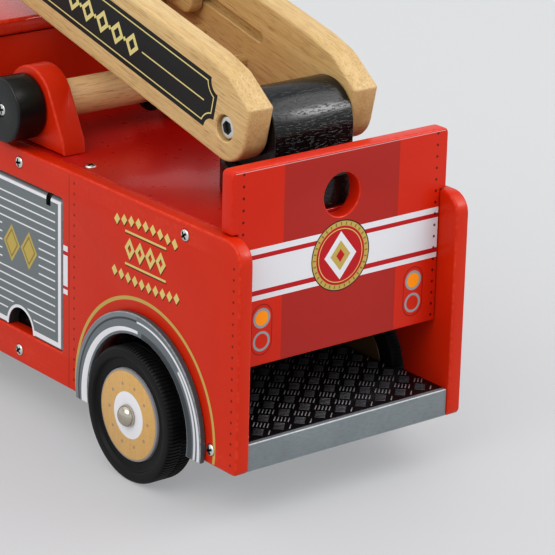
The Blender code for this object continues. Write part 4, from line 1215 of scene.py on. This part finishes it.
def rear_step():
    board = plate(stepped_plan(STEP_X, BOARD_HALF), "Z", 0.3, STEP_TOP, 0.6)
    outline = rectangle(STEP_X + STEP_RIM, STEP_END_X + 2.0, -56.0, 56.0)
    pocket = plate(outline, "Z", STEP_TOP - 1.2, STEP_TOP + 2.0, 0.0)
    bore = lathe([(0.0, -53.0), (2.8, -53.0), (2.8, 53.0), (0.0, 53.0)], "Y", (AXLES[0][1], 0.0, AXLE_HEIGHT), 32)
    board = carved(board, [pocket, bore])
    piece("step_board", board, "chassis", paints["grey"], ("rear_step",))

    top = STEP_TOP
    start = STEP_X + STEP_RIM
    parts = [plate(stepped_plan(start + 0.3, BOARD_HALF), "Z", top - 0.9, top, 0.15, steps=2)]
    turn = math.atan2(TREAD_HALF_PITCH_Y, TREAD_HALF_PITCH_X)
    for i in range(14):
        for j in range(-11, 12):
            if (i + j) % 2:
                continue
            x = TREAD_X + i * TREAD_HALF_PITCH_X
            y = TREAD_Y + j * TREAD_HALF_PITCH_Y
            along = -turn if i % 2 else turn
            for k in range(BARS_IN_GROUP):
                offset = (k - (BARS_IN_GROUP - 1) / 2) * BAR_SPACING
                bx = x - math.sin(along) * offset
                by = y + math.cos(along) * offset
                reach_x = BAR_LENGTH / 2 * math.cos(along) + BARE_EDGE
                reach_y = BAR_LENGTH / 2 * abs(math.sin(along)) + BARE_EDGE
                limit = BOARD_HALF if bx + reach_x < WHEEL_WELL_X else WHEEL_WELL_HALF
                if abs(by) + reach_y > limit or bx - reach_x < start or bx + reach_x > TREAD_END_X:
                    continue
                bar = tread_bar(BAR_LENGTH, BAR_WIDTH, BAR_HEIGHT)
                place = Matrix.Translation((bx, by, top)) @ Matrix.Rotation(along, 4, "Z")
                parts.append(moved(bar, place))
    piece("tread_plate", joined(parts), "chassis", paints["tread"], ("step_tread",), crease=50.0)


def deck():
    rear = REAR_PANEL_X + REAR_PANEL_THICKNESS + 0.3
    outline = rectangle(rear, CAB_WALL_X - 0.3, -BOARD_HALF, BOARD_HALF)
    board = plate(outline, "Z", DECK_BOTTOM, DECK_TOP, 0.5)
    up = (0.0, 0.0, 1.0)
    places = [((119.3, side * 48.05, DECK_TOP), 25.0 * side) for _, side in SIDES]
    board = carved(board, [moved(countersink(SCREW_RADIUS), facing(up, at)) for at, _ in places])
    piece("deck", board, "chassis", paints["deck"], ("deck_board",))
    screws("deck_screw", "chassis", places, up)


def upright(name, node, x, bottom, top, paint, hole=None, body="chassis"):
    outline = rectangle(-BOARD_HALF, BOARD_HALF, bottom, top)
    low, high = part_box(node)
    thickness = (high.x - low.x) / MM
    holes = (hole,) if hole else ()
    board = plate(outline, "X", x, x + thickness, 0.6, holes)
    piece(name, board, body, paint, (node,))


def cab():
    wall_top = CAB_HEIGHT - 0.3
    upright("cab_back", "cab_rear_wall", CAB_WALL_X, FLOOR_TOP + 0.3, wall_top, paints["red"])
    windscreen = rectangle(-44.0, 44.0, 90.0, 126.0, 6.0, 10)
    upright("cab_front", "cab_front_panel", CAB_FRONT_X, 0.3, wall_top, paints["front"], windscreen)
    trim_x = CAB_FRONT_X + BOARD + 0.3
    outline = rounded(
        [(trim_x, -BOARD_HALF, 0.0), (292.0, -BOARD_HALF, 4.0), (292.0, BOARD_HALF, 4.0), (trim_x, BOARD_HALF, 0.0)], 8
    )
    bumper = plate(outline, "Z", 2.0, 14.5, 1.2)
    piece("bumper", bumper, "chassis", paints["grey"], ("front_bumper",))
    for name, side in SIDES:
        centre = (trim_x, side * 36.0, 40.0)
        rim = [(5.9, 0.0), (8.0, 0.0), (8.0, 3.0), (7.6, 4.3), (6.9, 4.9), (6.2, 4.6), (5.9, 3.6)]
        bezel = lathe(rim, "X", centre)
        lens = lathe([(0.0, 0.2), (5.8, 0.2), (5.8, 3.6), (5.0, 4.7), (3.4, 5.5), (1.6, 5.9), (0.0, 6.0)], "X", centre)
        piece("headlamp_rim_" + name, bezel, "chassis", paints["chrome"], ("headlamp_" + name,))
        piece("headlamp_lens_" + name, lens, "chassis", paints["lamp"])
    seat_x = CAB_WALL_X + BOARD + 0.3
    foot = FLOOR_TOP + 0.3
    profile = rounded(
        [
            (seat_x, foot, 0.0),
            (seat_x + 28.0, foot, 0.0),
            (seat_x + 28.0, foot + 26.0, 3.0),
            (seat_x + 8.0, foot + 26.0, 2.0),
            (seat_x + 6.0, foot + 54.0, 2.0),
            (seat_x, foot + 54.0, 0.0),
        ]
    )
    piece("seat", plate(profile, "Y", -46.0, 46.0, 0.8), "chassis", paints["inner_wood"], ("cab_seat",))
    roof = plate(rectangle(195.5, 290.5, -61.0, 61.0, 6.0, 10), "Z", 136.5, 143.5, 1.6, steps=5)
    piece("roof_board", roof, "roof", paints["roof"], ("cab_roof",))


# ---- wheels ---------------------------------------------------------------------------------


def mudguards():
    outer_foot = math.degrees(math.asin(ARCH_HEIGHT / MUDGUARD_RADIUS))
    inner_foot = math.degrees(math.asin(ARCH_HEIGHT / ARCH_RADIUS))
    for axle_name, centre in AXLES:
        outer = arc(centre, ARCH_HEIGHT, MUDGUARD_RADIUS, -outer_foot, 180.0 + outer_foot, 64)
        inner = arc(centre, ARCH_HEIGHT, ARCH_RADIUS, 180.0 + inner_foot, -inner_foot, 64)
        for name, side in SIDES:
            low, high = sorted((side * (HALF_WIDTH + 0.3), side * MUDGUARD_FACE_Y))
            guard = plate(outer + inner, "Y", low, high, 0.6)
            node = f"mudguard_{axle_name}_{name}"
            piece(node + "_arch", guard, "chassis", paints["mudguard"], (node,))


# (radius, distance in from the outer face, tread row: 0 plain, 1 or 2 ribbed)
TYRE_SECTION = (
    (20.5, 1.6, 0),
    (23.7, 1.6, 0),
    (24.1, 1.45, 0),
    (24.4, 1.05, 0),
    (24.7, 0.5, 0),
    (25.0, 0.15, 0),
    (25.5, 0.0, 0),
    (28.1, 0.0, 0),
    (28.5, 0.12, 0),
    (28.8, 0.4, 0),
    (29.0, 0.7, 1),
    (29.35, 1.3, 1),
    (29.5, 2.2, 1),
    (29.5, 6.7, 1),
    (29.0, 6.8, 0),
    (29.0, 7.5, 0),
    (29.5, 7.6, 2),
    (29.5, 12.2, 2),
    (29.35, 13.1, 2),
    (29.0, 13.7, 2),
    (28.6, 14.1, 0),
    (27.9, 14.7, 0),
    (27.0, 14.9, 0),
    (20.5, 14.9, 0),
)
RIB_CORNERS = ((0.02, 0), (0.56, 0), (0.66, 1), (0.92, 1))
RIB_DEPTH = 0.40


def tyre(side, centre):
    """A rubber tyre with two staggered rows of cross ribs."""
    bm = bmesh.new()
    columns = []
    for rib in range(TREAD_RIBS):
        for share, low in RIB_CORNERS:
            turn = 2 * math.pi * (rib + share) / TREAD_RIBS
            column = []
            for radius, depth, row in TYRE_SECTION:
                groove = low if row == 1 else 1 - low
                reach = radius - (RIB_DEPTH * groove if row else 0.0)
                x = centre + reach * math.cos(turn)
                z = AXLE_HEIGHT + reach * math.sin(turn)
                column.append(bm.verts.new((x, side * (TYRE_FACE_Y - depth), z)))
            columns.append(column)
    count = len(TYRE_SECTION)
    for here, following in zip(columns, columns[1:] + columns[:1]):
        for i in range(count):
            j = (i + 1) % count
            bm.faces.new((here[i], here[j], following[j], following[i])).smooth = True
    return bm


def wheels():
    for axle_name, centre in AXLES:
        at = (centre, 0.0, AXLE_HEIGHT)
        for name, side in SIDES:
            wheel = f"{axle_name}_{name}"
            body = "wheel_" + wheel
            bore = AXLE_RADIUS + 0.3
            inner = HUB_INNER_Y
            profile = [
                (bore, HUB_FACE_Y - 0.3),
                (bore + 0.3, HUB_FACE_Y),
                (HUB_RADIUS - 0.9, HUB_FACE_Y),
                (HUB_RADIUS - 0.3, HUB_FACE_Y - 0.25),
                (HUB_RADIUS, HUB_FACE_Y - 0.8),
                (HUB_RADIUS, inner + 0.6),
                (HUB_RADIUS - 0.6, inner),
                (bore + 0.3, inner),
                (bore, inner + 0.3),
            ]
            hub = lathe([(radius, side * y) for radius, y in profile], "Y", at, 96)
            piece("wheel_disc_" + wheel, hub, body, paints["hub"], ("hub_" + wheel,))
            piece("ribbed_tyre_" + wheel, tyre(side, centre), body, paints["rubber"], ("tyre_" + wheel,))
        seat = HUB_FACE_Y + 0.3
        cap = [(AXLE_RADIUS, seat), (CAP_RADIUS, seat)]
        for k in range(11):
            turn = math.radians(90.0 * k / 10)
            cap.append((CAP_RADIUS * math.cos(turn), seat + 0.3 + (CAP_HEIGHT - 0.3) * math.sin(turn)))
        cap[-1] = (0.0, seat + CAP_HEIGHT)
        rod = lathe(mirrored_profile(cap), "Y", at, 48)
        piece("axle_rod_" + axle_name, rod, "chassis", paints["chrome"], ("axle_" + axle_name,))


# ---- lockers --------------------------------------------------------------------------------


def locker_doors():
    half = DOOR_THICKNESS / 2
    for name, side in SIDES:
        hinge_y = side * (DOOR_OUTER_Y - half)
        profile = [(hinge_y + u, DOOR_HINGE_HEIGHT + v) for u, v in arc(0.0, 0.0, half, 0.0, 180.0, 16)]
        profile += [(hinge_y - half, DOOR_BOTTOM), (hinge_y + half, DOOR_BOTTOM)]
        leaf = plate(profile, "X", DOOR_REAR_X, DOOR_FRONT_X, 0.5)
        notch = lathe([(0.0, -6.0), (NOTCH_RADIUS, -6.0), (NOTCH_RADIUS, 6.0), (0.0, 6.0)], "Y", (DOOR_MIDDLE_X, hinge_y, DOOR_BOTTOM))
        cutters = [notch]
        for x in (SLOT_X, 2 * DOOR_MIDDLE_X - SLOT_X):
            slot = rectangle(x - SLOT_HALF, x + SLOT_HALF, SLOT_BOTTOM, 90.0, 0.4)
            low, high = sorted((hinge_y + side * 1.4, side * 66.0))
            cutters.append(plate(slot, "Y", low, high, 0.0))
        node = "locker_door_" + name
        leaf = carved(leaf, cutters)
        piece("shutter_" + name, leaf, node, paints["shutter"], (node,))


# ---- hose reel ------------------------------------------------------------------------------


def reel_brackets():
    tangent = 28.0
    foot = DECK_TOP + 0.3
    crown = arc(REEL_X, REEL_HEIGHT, BRACKET_RADIUS, tangent, 180.0 - tangent, 40)
    slope = math.tan(math.radians(tangent))
    flank = BRACKET_BASE_HALF - 0.6
    flank_z = crown[0][1] - (flank - (crown[0][0] - REEL_X)) / slope
    outline = [(REEL_X + flank, flank_z)] + crown + [(REEL_X - flank, flank_z)]
    outline += [(REEL_X - BRACKET_BASE_HALF, foot), (REEL_X + BRACKET_BASE_HALF, foot)]
    bore = circle(REEL_X, REEL_HEIGHT, 4.8, 32)
    for name, side in SIDES:
        low, high = sorted((side * BRACKET_INNER_Y, side * BRACKET_OUTER_Y))
        board = plate(outline, "Y", low, high, 1.1, (bore,), 5)
        node = "reel_bracket_" + name
        piece(node + "_cheek", board, "chassis", paints["red"], (node,))


def hose_points():
    """Centre line of the hose: a lead-in from the nozzle, then turns side by side."""
    radius = DOWEL_RADIUS + 0.3 + HOSE_RADIUS
    pitch = 2 * HOSE_RADIUS + 0.4
    lead = 55.0
    places = []
    for k in range(14):
        t = k / 14
        ease = t * t * (3 - 2 * t)
        end_y = HOSE_START_Y - pitch * lead / 360.0
        places.append((lead * t * t, -7.2 * (1 - ease) + end_y * ease))
    for k in range(int(HOSE_TURNS * 48 - lead / 7.5) + 1):
        angle = lead + 7.5 * k
        places.append((angle, HOSE_START_Y - pitch * angle / 360.0))
    points = []
    for angle, y in places:
        turn = math.radians(angle)
        points.append(Vector((REEL_X + radius * math.cos(turn), y, REEL_HEIGHT + radius * math.sin(turn))))
    return points


def swept(points, radius, around=14):
    """A tube along a line of points, closed at both ends, with its length and girth as UVs."""
    bm = bmesh.new()
    uv_layer = bm.loops.layers.uv.new("sweep")
    rows = []
    runs = []
    travelled = 0.0
    for i, point in enumerate(points):
        ahead = points[min(i + 1, len(points) - 1)] - points[max(i - 1, 0)]
        tangent = ahead.normalized()
        outward = (point - Vector((REEL_X, point.y, REEL_HEIGHT))).normalized()
        outward = (outward - tangent * outward.dot(tangent)).normalized()
        sideways = tangent.cross(outward)
        if i:
            travelled += (point - points[i - 1]).length
        runs.append(travelled)
        row = []
        for k in range(around):
            turn = 2 * math.pi * k / around
            row.append(bm.verts.new(point + (outward * math.cos(turn) + sideways * math.sin(turn)) * radius))
        rows.append(row)
    for i in range(len(rows) - 1):
        for k in range(around):
            j = (k + 1) % around
            face = bm.faces.new((rows[i][k], rows[i][j], rows[i + 1][j], rows[i + 1][k]))
            face.smooth = True
            corners = ((runs[i], k), (runs[i], k + 1), (runs[i + 1], k + 1), (runs[i + 1], k))
            for loop, (run, step) in zip(face.loops, corners):
                loop[uv_layer].uv = (run, step / around)
    bm.faces.new(rows[0])
    bm.faces.new(rows[-1])
    return bm


def hose_reel():
    at = (REEL_X, 0.0, REEL_HEIGHT)
    shoulder = BRACKET_INNER_Y - 0.3
    outside = BRACKET_OUTER_Y + 0.3
    half = [(DOWEL_RADIUS, shoulder - 0.6), (DOWEL_RADIUS - 0.6, shoulder), (4.5, shoulder), (4.5, outside), (0.0, outside)]
    dowel = lathe(mirrored_profile(half), "Y", at, 64)
    piece("winding_dowel", dowel, "hose_reel", paints["dowel"], ("reel_dowel",))
    for name, side in SIDES:
        profile = [
            (0.0, KNOB_INNER_Y),
            (KNOB_RADIUS, KNOB_INNER_Y),
            (KNOB_RADIUS, KNOB_FACE_Y),
            (3.3, KNOB_FACE_Y),
            (3.0, KNOB_FACE_Y - 1.2),
            (0.0, KNOB_FACE_Y - 1.2),
        ]
        profile = softened(profile, 1.1, 4)
        knob = lathe([(radius, side * y) for radius, y in profile], "Y", at, 80)
        piece("winding_knob_" + name, knob, "hose_reel", paints["knob"], ("reel_knob_" + name,))
        place = facing((0.0, side, 0.0), (REEL_X, side * (KNOB_FACE_Y - 0.75), REEL_HEIGHT), 15.0)
        piece("knob_screw_" + name, moved(screw_head(2.6, 0.5), place), "hose_reel", paints["steel"])
    hose = swept(hose_points(), HOSE_RADIUS)
    piece("braided_hose_coil", hose, "hose_reel", paints["hose"], ("hose_coil",))
    profile = [(0.0, -7.5), (2.4, -7.5), (2.4, -4.9), (2.05, -4.6), (2.05, -4.0), (2.4, -3.7), (2.4, -2.6)]
    profile += [(1.3, 4.8), (1.75, 5.6), (1.75, 7.5), (1.05, 7.5), (0.9, 6.2), (0.0, 6.0)]
    beside = (REEL_X + DOWEL_RADIUS + 0.3 + 2.4, 0.5, REEL_HEIGHT)
    nozzle = lathe(softened(profile, 0.25, 2), "Y", beside, 32)
    piece("brass_nozzle", nozzle, "hose_reel", paints["brass"], ("hose_nozzle",))


# ---- turntable and ladder -------------------------------------------------------------------


def turntable():
    axis = (PIVOT_X, 0.0, 0.0)
    low = DECK_TOP + 0.3
    profile = softened([(0.0, low), (TURNTABLE_RADIUS, low), (TURNTABLE_RADIUS, TURNTABLE_TOP), (0.0, TURNTABLE_TOP)], 1.3, 5)
    disc = lathe(profile, "Z", axis, 112)
    piece("turning_disc", disc, "turntable", paints["black"], ("turntable_disc",))
    foot = TURNTABLE_TOP + 0.3
    outline = arc(PIVOT_X, BLOCK_CROWN, BLOCK_RADIUS, 0.0, 180.0, 64)
    outline += [(PIVOT_X - BLOCK_RADIUS, foot), (PIVOT_X + BLOCK_RADIUS, foot)]
    block = plate(outline, "Y", -BLOCK_HALF_WIDTH, BLOCK_HALF_WIDTH, 0.5)
    piece("pivot_block", block, "turntable", paints["black"], ("turntable_block",))


def rail_outline():
    heel = arc(0.0, 0.0, RAIL_BELOW, -90.0, -180.0, 20)
    corners = [(x, z, 0.0) for x, z in heel[:-1]]
    corners += [
        (-RAIL_REAR, 14.7, 1.5),
        (4.0, 22.5, 12.0),
        (18.0, RAIL_ABOVE, 30.0),
        (RAIL_FRONT, RAIL_ABOVE, 10.0),
        (RAIL_FRONT, -RAIL_BELOW, 10.0),
    ]
    return rounded(corners, 10)


def ladder():
    for name, side in SIDES:
        low, high = sorted((side * RAIL_INNER_Y, side * RAIL_OUTER_Y))
        rail = plate(rail_outline(), "Y", low, high, 1.5, steps=5)
        low_z, high_z = GROOVE_HEIGHT - GROOVE_HALF, GROOVE_HEIGHT + GROOVE_HALF
        groove = rectangle(GROOVE_START, GROOVE_END, low_z, high_z, GROOVE_HALF - 0.1, 8)
        cutter = plate(groove, "Y", -GROOVE_DEPTH, 0.0, flare=0.35)
        bore = [(0.0, -COUNTERBORE_DEPTH), (5.5, -COUNTERBORE_DEPTH), (5.5, -0.5), (6.0, 0.0), (6.0, 1.0), (0.0, 1.0)]
        seat = lathe(bore, "Y", steps=56)
        hole = lathe([(0.0, -20.0), (2.8, -20.0), (2.8, 1.0), (0.0, 1.0)], "Y", steps=24)
        outward = Matrix.Translation((0.0, side * RAIL_OUTER_Y, 0.0)) @ Matrix.Scale(side, 4, (0.0, 1.0, 0.0))
        inward = Matrix.Translation((0.0, side * RAIL_INNER_Y, 0.0)) @ Matrix.Scale(-side, 4, (0.0, 1.0, 0.0))
        rail = carved(rail, [moved(cutter, inward), moved(seat, outward)])
        rail = carved(rail, [moved(hole, outward)])
        node = "ladder_rail_" + name
        piece(node + "_board", rail, "ladder", paints["rail"], (node,), LADDER)
    for i in range(5):
        at = (OUTER_RUNG_FIRST + i * RUNG_PITCH, 0.0, OUTER_RUNG_HEIGHT)
        rung = lathe(mirrored_profile([(3.4, 25.2), (3.1, 25.6), (0.0, 25.6)]), "Y", at, 32)
        piece(f"cross_rung_{i + 1}", rung, "ladder", paints["rung"], (f"outer_rung_{i + 1}",), LADDER)

    seat_y = RAIL_OUTER_Y - COUNTERBORE_DEPTH + 0.3
    face = seat_y + 2.6
    half = [(AXLE_RADIUS, seat_y), (4.68, seat_y), (4.68, face - 0.5), (4.5, face - 0.15), (4.15, face), (0.0, face)]
    bolt = lathe(mirrored_profile(half), "Y", steps=48)
    sockets = []
    for _, side in SIDES:
        hexagon = circle(0.0, 0.0, 5.3 / math.sqrt(3.0), 6)
        low, high = sorted((side * (face - 1.9), side * (face + 1.0)))
        sockets.append(plate(hexagon, "Y", low, high, 0.0))
    # The hex sockets are marked for painted shade.
    bolt = darkened(carved(bolt, sockets), lambda at: math.hypot(at.x, at.z) < 3.15 and seat_y < abs(at.y) < face - 0.05)
    piece("hex_socket_bolt", bolt, "ladder", paints["steel"], ("pivot_bolt",), LADDER)


def extension():
    outer = RAIL_INNER_Y - 0.5
    for name, side in SIDES:
        low, high = sorted((side * (outer - 7.0), side * outer))
        outline = rectangle(90.0, 210.0, GROOVE_HEIGHT - 8.0, GROOVE_HEIGHT + 8.0, 5.0, 8)
        rail = plate(outline, "Y", low, high, 1.1)
        node = "extension_rail_" + name
        piece(node + "_board", rail, "ladder_extension", paints["ladder"], (node,), LADDER)
    for i in range(4):
        at = (103.0 + i * RUNG_PITCH, 0.0, GROOVE_HEIGHT)
        if i < 2:
            tip = RAIL_INNER_Y + GROOVE_DEPTH - 0.3
            half = [(3.0, outer), (2.0, outer), (2.0, tip - 0.4), (1.6, tip), (0.0, tip)]
        else:
            half = [(3.0, outer - 2.6), (2.7, outer - 2.3), (0.0, outer - 2.3)]
        rung = lathe(mirrored_profile(half), "Y", at, 32)
        node = f"extension_rung_{i + 1}"
        piece(node + "_dowel", rung, "ladder_extension", paints["rung"], (node,), LADDER)


def inner_boards():
    """Boards, blocks and rods whose frame shape is right keep it and take a finish; the floor board and locker bulkhead
    are painted black as shade.
    """
    finishes = {
        # Painted shade: black paint on the floor board and bulkhead stands for the shade inside the closed body.
        "floor_board": "black",
        "locker_bulkhead": "black",
        "axle_block_front": "inner_wood",
        "roof_locator": "inner_wood",
        "hinge_rod_left": "steel",
        "hinge_rod_right": "steel",
        "turntable_bolt": "steel",
    }
    for node, paint in finishes.items():
        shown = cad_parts[node]
        for slot in shown.material_slots:
            slot.material = paints[paint]


side_panels()
tailboard()
rear_step()
deck()
cab()
mudguards()
wheels()
locker_doors()
reel_brackets()
hose_reel()
turntable()
ladder()
extension()
inner_boards()

# ---- floor, light and camera ----------------------------------------------------------------


def floor():
    """A pale matt floor, painted a little darker towards the camera as shade, and lit evenly
    from within so that shadows on it stay soft and light."""
    shade = Shade("studio_floor")
    x, y, z = shade.stations()
    cloud = shade.noise(0.004, detail=3.0)
    fine = shade.noise(0.8, detail=3.0)
    # Painted shade: the floor colour darkens towards the camera.
    painted_light_falloff = ((x * 0.78 - y * 0.63 + 250.0) / 1100.0).clamped()
    colour = shade.mix(painted_light_falloff, rgb(140, 140, 142), rgb(157, 157, 157))
    colour = shade.mix((cloud * 0.7 + fine * 0.3) * 0.15, colour, rgb(136, 136, 138))
    shade.bump(fine, 0.02)
    paint = shade.finish(colour, fine * 0.1 + 0.55, specular=0.25)
    shade.surface.inputs["Emission Color"].default_value = (0.97, 0.98, 1.0, 1.0)
    shade.surface.inputs["Emission Strength"].default_value = 0.27
    bm = bmesh.new()
    bmesh.ops.create_circle(bm, cap_ends=True, radius=8.0, segments=96)
    mesh = bpy.data.meshes.new("studio_floor")
    bm.to_mesh(mesh)
    bm.free()
    mesh.materials.append(paint)
    made = bpy.data.objects.new("studio_floor", mesh)
    bpy.context.scene.collection.objects.link(made)


def area_light(name, at, target, size, power, colour=(1.0, 1.0, 1.0), diffuse=True):
    lamp = bpy.data.lights.new(name, "AREA")
    lamp.shape = "RECTANGLE"
    lamp.size, lamp.size_y = size
    lamp.energy = power
    lamp.color = colour
    made = bpy.data.objects.new(name, lamp)
    made.location = at
    made.rotation_euler = (Vector(target) - Vector(at)).to_track_quat("-Z", "Y").to_euler()
    made.visible_diffuse = diffuse
    bpy.context.scene.collection.objects.link(made)


def studio():
    floor()
    world = bpy.data.worlds.new("studio")
    world.use_nodes = True
    tree = world.node_tree
    backdrop = tree.nodes["Background"]
    place = tree.nodes.new("ShaderNodeTexCoord")
    parts = tree.nodes.new("ShaderNodeSeparateXYZ")
    sky = tree.nodes.new("ShaderNodeMix")
    sky.data_type = "RGBA"
    sky.inputs[6].default_value = SKY_HORIZON
    sky.inputs[7].default_value = SKY_OVERHEAD
    tree.links.new(place.outputs["Generated"], parts.inputs[0])
    tree.links.new(parts.outputs["Z"], sky.inputs[0])
    tree.links.new(sky.outputs[2], backdrop.inputs["Color"])
    backdrop.inputs["Strength"].default_value = 1.0
    bpy.context.scene.world = world
    middle = Vector((0.0, 0.0, 0.06))
    key_at = middle + Vector((-0.46, -0.59, 0.66)) * 1.6
    area_light("key_window", key_at, middle, (1.2, 1.2), 10.0, (1.0, 0.99, 0.96))
    glint_at = middle + Vector((-0.62, -0.60, 0.51)) * 1.6
    area_light("window_glint", glint_at, middle, (0.42, 0.42), 5.0, diffuse=False)
    area_light("left_fill", (-0.5, 1.4, 1.5), middle, (1.6, 1.2), 14.0, (1.0, 0.96, 0.90))
    area_light("overhead_softbox", (0.3, 0.5, 1.6), middle, (1.8, 1.8), 4.0)


SKY_HORIZON = (0.82, 0.83, 0.84, 1.0)
SKY_OVERHEAD = (0.60, 0.62, 0.65, 1.0)

CAMERA_AZIMUTH = math.radians(231.202)
CAMERA_ELEVATION = math.radians(19.594)
CAMERA_ROLL = math.radians(1.488)
CAMERA_AT = ORIGIN + Vector((-851.32, 725.63, 470.77)) * MM
CAMERA_LENS = 190.23


def camera():
    az, el, roll = CAMERA_AZIMUTH, CAMERA_ELEVATION, CAMERA_ROLL
    back = Vector((math.sin(az) * math.cos(el), -math.cos(az) * math.cos(el), math.sin(el)))
    level = Vector((math.cos(az), math.sin(az), 0.0))
    up = back.cross(level)
    right = math.cos(roll) * level + math.sin(roll) * up
    top = -math.sin(roll) * level + math.cos(roll) * up
    lens = bpy.data.cameras.new("studio_camera")
    lens.sensor_width = 36.0
    lens.lens = CAMERA_LENS
    lens.clip_start = 0.02
    lens.clip_end = 30.0
    made = bpy.data.objects.new("studio_camera", lens)
    made.matrix_world = Matrix.Translation(CAMERA_AT) @ Matrix((right, top, back)).transposed().to_4x4()
    bpy.context.scene.collection.objects.link(made)
    bpy.context.scene.camera = made


studio()
camera()
bpy.context.scene.view_settings.view_transform = "Standard"
bpy.context.scene.view_settings.look = "Medium High Contrast"
